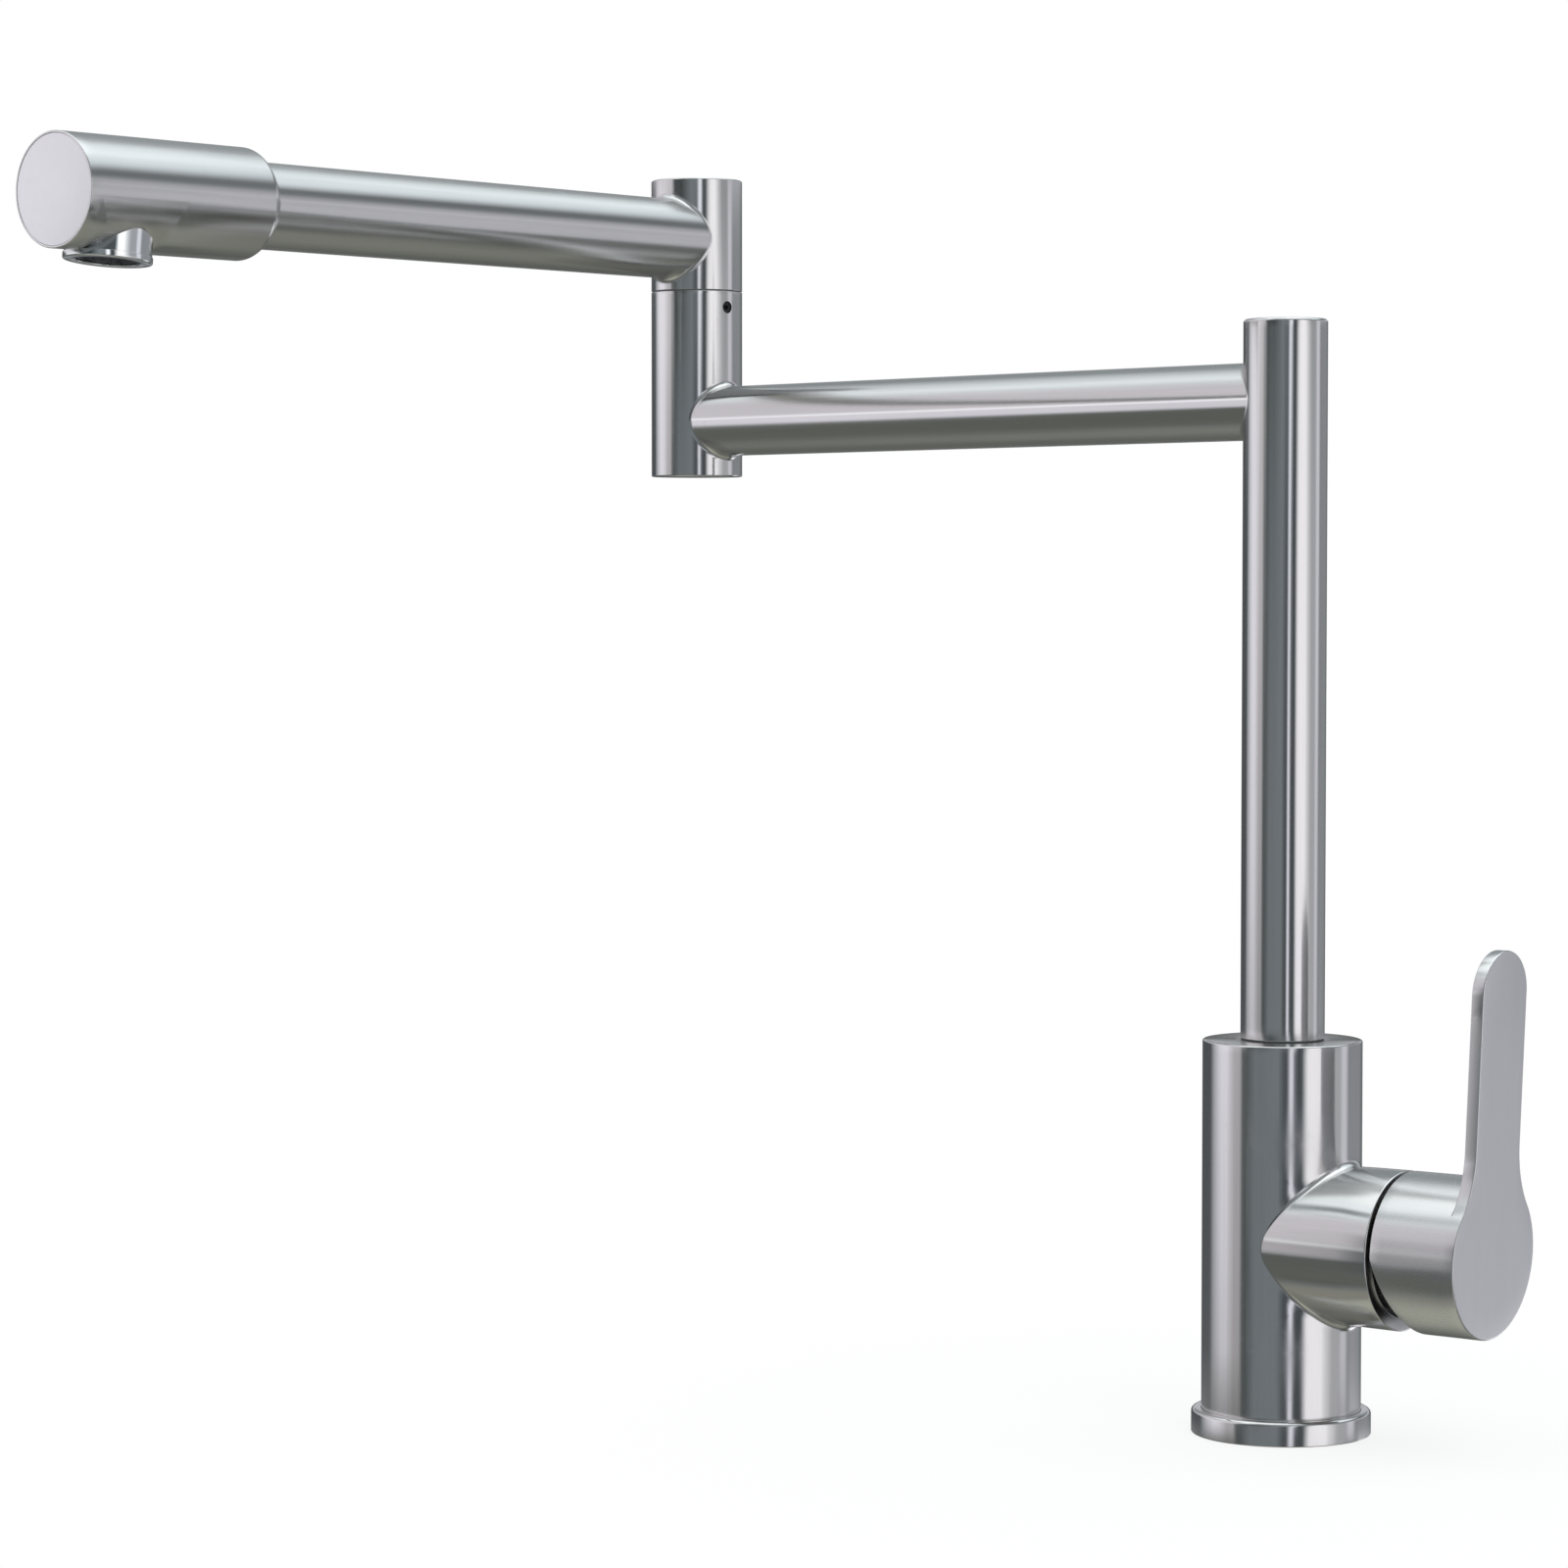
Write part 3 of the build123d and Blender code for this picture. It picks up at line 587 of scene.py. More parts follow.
def new_group(name: str, values: Sequence[str], outputs: Sequence[str]) -> tuple[NodeBuilder, bpy.types.Node]:
    """Empty shader node group with a vector input, value inputs and value outputs.

    Args:
        name: the group's name.
        values: names of the value inputs.
        outputs: names of the outputs.
    Returns:
        A builder for the group, and its input node.
    """
    group = bpy.data.node_groups.new(name, "ShaderNodeTree")
    group.interface.new_socket("Vector", in_out="INPUT", socket_type="NodeSocketVector")
    for in_out, labels in (("INPUT", values), ("OUTPUT", outputs)):
        for label in labels:
            group.interface.new_socket(label, in_out=in_out, socket_type="NodeSocketFloat")
    build = NodeBuilder(group)
    return build, build.add("NodeGroupInput")


def fine_grain_group() -> None:
    """Group for brushed grain, fine across two axes and long along the third.

    It puts out the streak, from 0 to 1, and a slow change of tone along the grain.
    """
    tone_stretch = (0.12, 0.12, 0.4)
    build, given = new_group("fine_grain", ("Long", "Fine"), ("Streak", "Tone"))
    lengthwise, across = (build.math("DIVIDE", 1.0, given.outputs[name]) for name in ("Long", "Fine"))
    scale = build.add("ShaderNodeCombineXYZ", {0: across, 1: across, 2: lengthwise}).outputs[0]
    stretched = build.vector("MULTIPLY", given.outputs["Vector"], scale)
    streak = build.noise(stretched, 1.0, 3.0, 0.65)
    tone = build.noise(build.vector("MULTIPLY", stretched, tone_stretch), 1.0, 2.0)
    build.add("NodeGroupOutput", {"Streak": streak, "Tone": tone})


def clouding_group() -> None:
    """Group for handling marks: soft clouds, and a mask of a few dull specks, each from 0 to 1."""
    specks_per_cloud, speck_start, speck_full = 14.0, 0.66, 0.74
    build, given = new_group("clouding", ("Size",), ("Cloud", "Speck"))
    scale = build.math("DIVIDE", 1.0, given.outputs["Size"])
    cloud = build.noise(given.outputs["Vector"], scale, 4.0)
    speck = build.noise(given.outputs["Vector"], build.math("MULTIPLY", scale, specks_per_cloud), 2.0)
    build.add("NodeGroupOutput", {"Cloud": cloud, "Speck": build.spread(speck, speck_start, speck_full)})


@dataclass(frozen=True)
class Finish:
    """Surface of a metal, rubber, plastic or ceramic piece.

    Colours are dark and light ends of the grain. Roughness runs from low to high with grain and clouds.
    """

    name: str
    dark: Point
    light: Point
    rough_low: float
    rough_high: float
    metallic: float = 1.0
    long: float = 45.0
    fine: float = 0.35
    depth: float = 0.0006
    source: GrainSource = GrainSource.SURFACE
    cloud_size: float = 42.0
    brushed: float = 0.0
    tone_weights: tuple[float, float] = (0.6, 0.4)
    tone_ends: tuple[float, float] = (0.25, 0.75)
    wear_weights: Point = (0.45, 0.55, 0.35)
    wear_ends: tuple[float, float] = (0.25, 0.85)

    def material(self) -> bpy.types.Material:
        """Material of this finish, made on its first use.

        Returns:
            The material.
        """
        known = bpy.data.materials.get(self.name)
        if known is not None:
            return known
        material = bpy.data.materials.new(self.name)
        material.use_nodes = True
        build, groups = NodeBuilder(material.node_tree), bpy.data.node_groups
        place = build.add("ShaderNodeTexCoord").outputs["Object"]
        place = build.vector("MULTIPLY", place, (1 / MM, 1 / MM, 1 / MM))
        along_grain = place
        if self.source is GrainSource.SURFACE:
            along_grain = build.add("ShaderNodeAttribute", attribute_name="grain").outputs["Vector"]
        inputs = {"Vector": along_grain, "Long": self.long, "Fine": self.fine}
        grain = build.add("ShaderNodeGroup", inputs, node_tree=groups["fine_grain"]).outputs
        inputs = {"Vector": place, "Size": self.cloud_size}
        marks = build.add("ShaderNodeGroup", inputs, node_tree=groups["clouding"]).outputs
        tone = build.weighed(*zip((grain["Streak"], grain["Tone"]), self.tone_weights))
        colour = build.ramp(tone, list(zip(self.tone_ends, (self.dark, self.light))))
        wear = build.weighed(*zip((grain["Streak"], marks["Cloud"], marks["Speck"]), self.wear_weights))
        rough = build.spread(wear, *self.wear_ends, self.rough_low, self.rough_high)
        bump = {"Height": grain["Streak"], "Strength": 1.0, "Distance": self.depth * MM}
        inputs = {"Base Color": colour, "Roughness": rough, "Metallic": self.metallic,
                  "Normal": build.add("ShaderNodeBump", bump).outputs[0]}
        if self.brushed:
            lay = build.add("ShaderNodeAttribute", attribute_name="lay").outputs["Vector"]
            frames = {"vector_type": "VECTOR", "convert_from": "OBJECT", "convert_to": "WORLD"}
            inputs["Tangent"] = build.add("ShaderNodeVectorTransform", {0: lay}, **frames).outputs[0]
            inputs["Anisotropic"] = self.brushed
        shader = build.add("ShaderNodeBsdfPrincipled", inputs)
        build.add("ShaderNodeOutputMaterial", {"Surface": shader.outputs[0]})
        return material


SOLID = GrainSource.OBJECT
STEEL = (0.575, 0.57, 0.57), (0.645, 0.64, 0.64)
TUBE_STEEL = Finish("tube_steel", *STEEL, 0.14, 0.19, brushed=0.9)
BRUSHED_STEEL = Finish("brushed_steel", *STEEL, 0.20, 0.25, depth=0.0003, brushed=0.9)
SATIN_STEEL = Finish(
    "satin_steel", (0.625, 0.62, 0.625), (0.66, 0.655, 0.66), 0.26, 0.30, depth=0.0001, brushed=0.8
)
TURNED_STEEL = Finish("turned_steel", (0.42, 0.42, 0.42), (0.50, 0.50, 0.50), 0.2, 0.3, source=SOLID)
FACE_STEEL = Finish("face_steel", (0.77, 0.765, 0.785), (0.81, 0.805, 0.825), 0.36, 0.42, depth=0.0004)
CHROME = Finish("chrome_plate", (0.70, 0.71, 0.72), (0.76, 0.77, 0.78), 0.04, 0.10, depth=0.0003)
# Black steel for the grub screws, pin and stem, and painted shade on the cartridge nut, which looks dark only
# from the shadow in the gap under the handle.
BLACK_STEEL_AND_PAINTED_SHADE = Finish("black_screw_steel_and_painted_shade", (0.03, 0.03, 0.032), (0.07, 0.07, 0.072), 0.35, 0.55, source=SOLID)
BRASS = Finish("machined_brass", (0.55, 0.40, 0.18), (0.72, 0.55, 0.28), 0.22, 0.38, source=SOLID)
RUBBER = Finish("seal_rubber", (0.012, 0.012, 0.012), (0.03, 0.03, 0.03), 0.6, 0.8, 0.0, source=SOLID)
CERAMIC = Finish("disc_ceramic", (0.78, 0.77, 0.74), (0.85, 0.84, 0.81), 0.12, 0.2, 0.0, source=SOLID)
WHITE_PLASTIC = Finish(
    "cartridge_plastic", (0.55, 0.55, 0.54), (0.65, 0.65, 0.63), 0.38, 0.5, 0.0, source=SOLID
)
INSERT_PLASTIC = Finish(
    "insert_plastic", (0.008, 0.008, 0.008), (0.02, 0.02, 0.02), 0.45, 0.6, 0.0, source=SOLID
)
BLACK_PLASTIC = Finish(
    "bearing_plastic", (0.015, 0.015, 0.016), (0.03, 0.03, 0.031), 0.45, 0.6, 0.0, source=SOLID
)


def show(skin: Skin, stand: Stand, node: str, body: Body, finish: Finish = TUBE_STEEL) -> bpy.types.Object:
    """Makes the object of a finished surface, which stands for a node of the tap.

    Args:
        skin: the surface.
        stand: its place.
        node: the node that it replaces.
        body: the body that it moves with.
        finish: its finish.
    Returns:
        The object.
    """
    mesh = skin.mesh(f"{node}_shown", stand)
    mesh.materials.append(finish.material())
    piece = bpy.data.objects.new(f"{node}_shown", mesh)
    bpy.context.scene.collection.objects.link(piece)
    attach(piece, body.value)
    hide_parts(node)
    log.info("%s: %d points, %d faces", piece.name, len(mesh.vertices), len(mesh.polygons))
    return piece


@dataclass(frozen=True)
class BaseAndBody:
    """Base ring, valve body with its branch, and the bonnet in the branch's mouth."""

    body_r: float = 23.75
    body_bore: float = 20.75
    body_top: float = 117.7
    top_plate: float = 5.0
    top_hole: float = 14.02
    body_edge: float = 0.6
    bore_seam: tuple[float, float] = (96.0, 100.0)
    ring_r: float = 26.75
    ring_h: float = 7.2
    ring_floor: float = 3.0
    ring_round: float = 1.2
    ring_bore: float = 20.0
    ring_seam: tuple[float, float] = (2.0, 2.5)
    gasket_r: tuple[float, float] = (21.0, 24.4)
    gasket_t: float = 1.4
    fit: float = 0.02
    branch_z: float = 58.0
    branch_r: float = 23.6
    branch_end: float = 42.8
    branch_straight: float = 10.0
    branch_steps: int = 16
    branch_window: tuple[int, float, int] = (84, 31.0, 40)
    root_start: float = 42.0
    root_round: float = 700.0
    weld: float = 2.2
    mouth_edge: float = 0.4
    nut_bore: float = 19.6
    nut_depth: float = 33.0
    nut_step: float = 1.0
    cartridge_bore: float = 17.8
    screw_r: float = 2.52
    screw_z: float = 110.0
    screw_azimuth: int = 135
    screw_window: tuple[int, float, int] = (14, 5.0, 10)
    screw_room: float = 3.5
    screw_floor: float = 0.9
    bonnet_r: float = 17.6
    bonnet_x: tuple[float, float] = (41.0, 48.0)
    bonnet_wall: float = 1.4
    bonnet_round: float = 3.0
    bonnet_hole: float = 12.5
    bonnet_edge: float = 0.4
    bonnet_seam: tuple[float, float] = (2.0, 3.0)

    def build_ring(self) -> None:
        """Base ring with its rounded shoulder, counterbore and gasket groove."""
        (inner, outer), (seam_low, seam_high) = self.gasket_r, self.ring_seam
        seat = self.body_r + self.fit
        line = rounded([
            (self.ring_bore, seam_low), (self.ring_bore, 0.0, FINE_EDGE),
            (inner, 0.0), (inner, self.gasket_t), (outer, self.gasket_t), (outer, 0.0),
            (self.ring_r, 0.0, BROKEN_EDGE), (self.ring_r, self.ring_h, self.ring_round),
            (seat, self.ring_h, SMALL_EDGE), (seat, self.ring_floor),
            (self.ring_bore, self.ring_floor), (self.ring_bore, seam_high),
        ])
        show(turning(line), UPRIGHT, "base_ring", Body.BASE)

    def build_body(self) -> None:
        """Upright tube and branch in one skin.

        The tube is turned. Its two windows are patched up to the branch's root and to the screw's hole. The
        branch is swept round its own axis, from the weld on the tube's wall out to the mouth, and back in
        through its bore to the inside of the tube.
        """
        half_angle, half, steps = self.branch_window
        screw_angle, screw_half, screw_steps = self.screw_window
        low, high = self.branch_z - half, self.branch_z + half
        screw_low, screw_high = self.screw_z - screw_half, self.screw_z + screw_half
        under = self.body_top - self.top_plate
        tube = DrilledTurning(rounded([
            (self.body_bore, self.bore_seam[0]), *run(self.body_bore, high, low, steps),
            (self.body_bore, self.ring_floor, BROKEN_EDGE), (self.body_r, self.ring_floor, BROKEN_EDGE),
            *run(self.body_r, low, high, steps), *run(self.body_r, screw_low, screw_high, screw_steps),
            (self.body_r, self.body_top, self.body_edge),
            (self.top_hole, self.body_top), (self.top_hole, under), (self.body_bore, under),
            *run(self.body_bore, screw_high - self.screw_room, screw_low, screw_steps),
            (self.body_bore, self.bore_seam[1]),
        ]))
        window = Window(0, half_angle, low, high)
        shape = RootShape(self.branch_r, self.root_start, self.root_round)

        def root(bearing: Array, wall: float) -> tuple[Array, Array]:
            """Where the weld starts on the tube's wall."""
            start = weld_root(wall, shape, bearing, self.weld)[1][0]
            return np.arcsin(start * np.sin(bearing) / wall), self.branch_z + start * np.cos(bearing)

        bearing, _ = tube.pierce(window, self.body_r, root)
        _, inner = tube.pierce(window, self.body_bore, drilled(self.cartridge_bore, self.branch_z))
        t, r = weld_root(self.body_r, shape, bearing, self.weld)
        straight = self.branch_end - self.branch_straight
        out = t[-1] + (straight - t[-1]) * np.linspace(0.0, 1.0, self.branch_steps + 1)[1:, None]
        mouth = rounded([
            (self.branch_r, straight), (self.branch_r, self.branch_end, self.mouth_edge),
            (self.nut_bore, self.branch_end, SMALL_EDGE), (self.nut_bore, self.nut_depth),
            (self.cartridge_bore, self.nut_depth), (self.cartridge_bore, self.nut_depth - self.nut_step),
        ])[1:]
        ones = np.ones_like(bearing)
        t = np.concatenate([t, out, mouth[:, 1:] * ones, inner[None, :, 0]])
        r = np.concatenate([r, shape.radius(out), mouth[:, :1] * ones, self.cartridge_bore * ones[None]])
        points, grain = swept(t, r, bearing)
        level = np.roll(points, 1, axis=-1) + np.array([0.0, 0.0, self.branch_z])
        tube.skin.add(level, grain, close_cols=True)
        hole = Window(self.screw_azimuth, screw_angle, screw_low, screw_high)
        _, rim = tube.pierce(hole, self.body_r, drilled(self.screw_r, self.screw_z))
        tube.skin.pit(rim, self.screw_floor)
        show(tube.closed(), UPRIGHT, "valve_body", Body.BASE)

    def build_bonnet(self) -> None:
        """Domed bonnet over the cartridge, seen in the gap under the handle."""
        start, end = self.bonnet_x
        inner, under = self.bonnet_r - self.bonnet_wall, end - self.bonnet_wall
        line = rounded([
            (inner, start + self.bonnet_seam[0]), (inner, start), (self.bonnet_r, start, FINE_EDGE),
            (self.bonnet_r, end, self.bonnet_round), (self.bonnet_hole, end, self.bonnet_edge),
            (self.bonnet_hole, under), (inner, under), (inner, start + self.bonnet_seam[1]),
        ])
        show(turning(line), Stand((0.0, 0.0, self.branch_z), 0.0), "bonnet_cap", Body.BASE, SATIN_STEEL)

    def build(self) -> None:
        """Builds the three pieces."""
        self.build_ring()
        self.build_body()
        self.build_bonnet()


@dataclass(frozen=True)
class RiserAndLowerArm:
    """Riser with its top, and the lower arm welded between the riser and the elbow."""

    riser_r: float = 12.5
    riser_bore: float = 11.0
    riser_seam: tuple[float, float] = (200.0, 210.0)
    foot: float = 118.1
    top: float = 331.6
    cap_t: float = 3.0
    cap_plug: float = 4.0
    cap_round: float = 1.0
    arm_r: float = 11.6
    arm_bore: float = 10.0
    arm_z: float = 307.55
    weld: float = 2.0
    gap: float = 0.02

    def build(self) -> None:
        """Builds the drawn tube, the plug that closes it, and the arm with a weld at each end."""
        seam, plug_r = self.top - self.cap_t, self.riser_bore - self.gap
        tube = rounded([
            (self.riser_bore, self.riser_seam[0]), (self.riser_bore, self.foot, FINE_EDGE),
            (self.riser_r, self.foot, SMALL_EDGE), (self.riser_r, seam),
            (self.riser_bore, seam), (self.riser_bore, self.riser_seam[1]),
        ])
        show(turning(tube), UPRIGHT, "riser_tube", Body.RISER)
        plug = rounded([
            (0.0, seam - self.cap_plug), (plug_r, seam - self.cap_plug, BROKEN_EDGE), (plug_r, seam),
            (self.riser_r, seam), (self.riser_r, self.top, self.cap_round), (0.0, self.top),
        ])
        show(turning(plug), UPRIGHT, "riser_cap", Body.RISER)
        posts = (self.riser_r, ELBOW_R)
        skin = welded_arm(self.arm_r, self.arm_bore, ARM_REACH, posts, self.weld, self.gap)
        show(skin, Stand((0.0, 0.0, self.arm_z), ARM_AZIMUTH), "lower_arm_tube", Body.RISER)


@dataclass(frozen=True)
class Elbow:
    """Upright elbow in two halves with a fine seam, and its end plugs."""

    bore: float = 13.5
    foot: float = 289.15
    lower_top: float = 351.0
    upper_foot: float = 351.4
    top: float = 388.45
    plug_t: float = 3.0
    plug_edge: float = 0.1
    edge: float = 0.5
    seam_edge: float = 0.15
    fit: float = 0.02
    bore_seam: float = 1.0
    screw_r: float = 2.02
    screw_z: float = 345.6
    screw_azimuth: int = 351
    screw_window: tuple[int, float, int] = (16, 4.0, 12)

    def half(self, foot: float, top: float, edges: tuple[float, float], wall: Corners = ()) -> Array:
        """Line of one half, from inside its bore round to the inside again.

        Args:
            foot: height of its foot.
            top: height of its top.
            edges: rounding of its lower and upper edge.
            wall: more corners along its outer wall.
        Returns:
            Points of the line.
        """
        middle = (foot + top) / 2
        return rounded([
            (self.bore, middle - self.bore_seam), (self.bore, foot), (ELBOW_R, foot, edges[0]), *wall,
            (ELBOW_R, top, edges[1]), (self.bore, top), (self.bore, middle),
        ])

    def plug(self, low: float) -> Skin:
        """Round end plug that starts at a height."""
        r, high, edge = self.bore - self.fit, low + self.plug_t, self.plug_edge
        return turning(rounded([(0.0, low), (r, low, edge), (r, high, edge), (0.0, high)]))

    def build(self) -> None:
        """Builds the lower half with its screw hole, the upper half and both plugs."""
        stand = Stand((ELBOW_X, ELBOW_Y, 0.0))
        half_angle, half, steps = self.screw_window
        low, high = self.screw_z - half, self.screw_z + half
        wall = run(ELBOW_R, low, high, steps)
        lower = DrilledTurning(self.half(self.foot, self.lower_top, (self.edge, self.seam_edge), wall))
        window = Window(self.screw_azimuth, half_angle, low, high)
        _, rim = lower.pierce(window, ELBOW_R, drilled(self.screw_r, self.screw_z))
        lower.skin.pit(rim, self.bore / ELBOW_R)
        show(lower.closed(), stand, "elbow_lower_tube", Body.RISER)
        upper = self.half(self.upper_foot, self.top, (self.seam_edge, self.edge))
        show(turning(upper), stand, "elbow_upper_tube", Body.SPOUT)
        show(self.plug(self.foot), stand, "elbow_bottom_cap", Body.RISER, SATIN_STEEL)
        show(self.plug(self.top - self.plug_t), stand, "elbow_top_cap", Body.SPOUT, SATIN_STEEL)


@dataclass(frozen=True)
class UpperArmAndHead:
    """Upper arm, the thicker spout head with its end disc, and the aerator under it."""

    z: float = 368.4
    azimuth: float = 266.8
    arm_r: float = 13.25
    arm_bore: float = 11.75
    weld: float = 2.0
    gap: float = 0.02
    arm_end: float = 220.5
    shoulder_start: float = 202.5
    shoulder_lip: float = 0.3
    shoulder_round: float = 3.0
    neck_seam: tuple[float, float] = (210.0, 211.0)
    head_start: float = 206.7
    head_r: float = 17.2
    head_bore: float = 15.6
    reach: float = 279.9
    end_rim: float = 0.7
    end_disc_t: float = 1.3
    end_disc_edge: float = 0.15
    end_plug_t: float = 2.0
    end_edge: float = 0.3
    end_recess: float = 0.1
    hole_middle: int = 270
    hole_half_angle: int = 82
    hole_room: tuple[float, float] = (17.0, 16.6)
    hole_steps: int = 34
    aerator_t: float = 259.2
    aerator_hole: float = 13.4
    aerator_r: float = 13.0
    aerator_drop: float = 20.1
    aerator_lean: float = 5.5
    aerator_steps: int = 12
    aerator_seam: tuple[float, float] = (-12.0, -11.0)
    collar_drop: float = 8.2
    thread_r: float = 12.0
    thread_top: float = -1.0
    insert_r: float = 10.5
    foot_t: float = 1.0
    rim_r: float = 13.3
    rim_h: float = 2.0
    rim_edge: float = 0.5
    flats: float = 22.6
    flat_middles: tuple[float, float] = (120.0, 300.0)
    flat_reach: float = 80.0

    def stand(self) -> Stand:
        """Place of the arm, with Z along it."""
        return Stand((ELBOW_X, ELBOW_Y, self.z), self.azimuth)

    def build_head(self) -> None:
        """Turned head with its sloped shoulder, patched round the aerator's hole, and its end disc."""
        neck, lip = self.arm_r + self.gap, self.head_r - self.end_rim
        low, high = self.aerator_t - self.hole_room[0], self.aerator_t + self.hole_room[1]
        seat = self.reach - self.end_disc_t
        head = DrilledTurning(rounded([
            (neck, self.neck_seam[0]), (neck, self.shoulder_start),
            (neck + self.shoulder_lip, self.shoulder_start, HAIR_EDGE),
            (self.head_r, self.head_start, self.shoulder_round),
            *run(self.head_r, low, high, self.hole_steps),
            (self.head_r, self.reach, self.end_edge), (lip, self.reach, HAIR_EDGE), (lip, seat),
            (self.head_bore, seat), *run(self.head_bore, high, low, self.hole_steps),
            (self.head_bore, self.arm_end), (neck, self.arm_end), (neck, self.neck_seam[1]),
        ]))
        window = Window(self.hole_middle, self.hole_half_angle, low, high)
        hole = drilled(self.aerator_hole, self.aerator_t, self.aerator_lean, self.head_r)
        outer, inner = (head.pierce(window, wall, hole)[1] for wall in (self.head_r, self.head_bore))
        sides = np.stack([outer, (outer + inner) / 2, inner])
        head.skin.add(sides, np.zeros_like(sides), close_cols=True)
        show(head.closed(), self.stand(), "spout_head", Body.SPOUT, BRUSHED_STEEL)
        plug, plug_r = seat - self.end_plug_t, self.head_bore - self.gap
        rim, face = lip - self.gap, self.reach - self.end_recess
        disc = rounded([
            (0.0, plug), (plug_r, plug, FINE_EDGE), (plug_r, seat), (rim, seat),
            (rim, face, self.end_disc_edge), (0.0, face),
        ])
        show(turning(disc), self.stand(), "spout_end_cap", Body.SPOUT, FACE_STEEL)

    def build_aerator(self) -> None:
        """Chrome collar with a lower rim and two spanner flats.

        On a flat the wall's radius is half the width across flats over the cosine of the bearing from the
        flat's middle, where that is less than the round wall's radius.
        """
        foot, mouth = -self.aerator_drop, self.insert_r - self.foot_t
        rim_top = foot + self.rim_h
        line = rounded([
            (self.insert_r, self.aerator_seam[0]), (self.insert_r, foot + self.foot_t),
            (mouth, foot + self.foot_t), (mouth, foot, SMALL_EDGE),
            (self.rim_r, foot, self.rim_edge), (self.rim_r, rim_top, HAIR_EDGE),
            *run(self.aerator_r, rim_top, -self.collar_drop, self.aerator_steps),
            (self.thread_r, -self.collar_drop), (self.thread_r, self.thread_top),
            (self.insert_r, self.thread_top), (self.insert_r, self.aerator_seam[1]),
        ])
        degrees = np.arange(TURN_STEPS) * 360.0 / TURN_STEPS
        away = np.abs((degrees[:, None] - self.flat_middles + 180.0) % 360.0 - 180.0).min(axis=1)
        flat_r = self.flats / 2 / np.cos(np.radians(away.clip(None, self.flat_reach)))
        on_wall = np.abs(line[:, 0] - self.aerator_r) < ON_WALL
        radius = np.where(on_wall, np.minimum(line[:, 0], flat_r[:, None]), line[:, 0])
        skin = Skin()
        skin.add(*turned(line, radius), close_rows=True, close_cols=True)
        c, s = cos(radians(self.aerator_lean)), sin(radians(self.aerator_lean))
        axes = np.array([[1.0, 0.0, 0.0], [0.0, -s, -c], [0.0, c, -s]])
        lift, seat = np.array([0.0, 0.0, self.head_r]), np.array([0.0, -self.head_r, self.aerator_t])
        skin.points = [(p + lift) @ axes + seat for p in skin.points]
        show(skin, self.stand(), "aerator_housing", Body.SPOUT, CHROME)

    def build(self) -> None:
        """Builds the arm with a weld on the elbow, the head and the aerator."""
        arm = welded_arm(self.arm_r, self.arm_bore, self.arm_end, (ELBOW_R,), self.weld, self.gap)
        show(arm, self.stand(), "upper_arm_tube", Body.SPOUT, BRUSHED_STEEL)
        self.build_head()
        self.build_aerator()


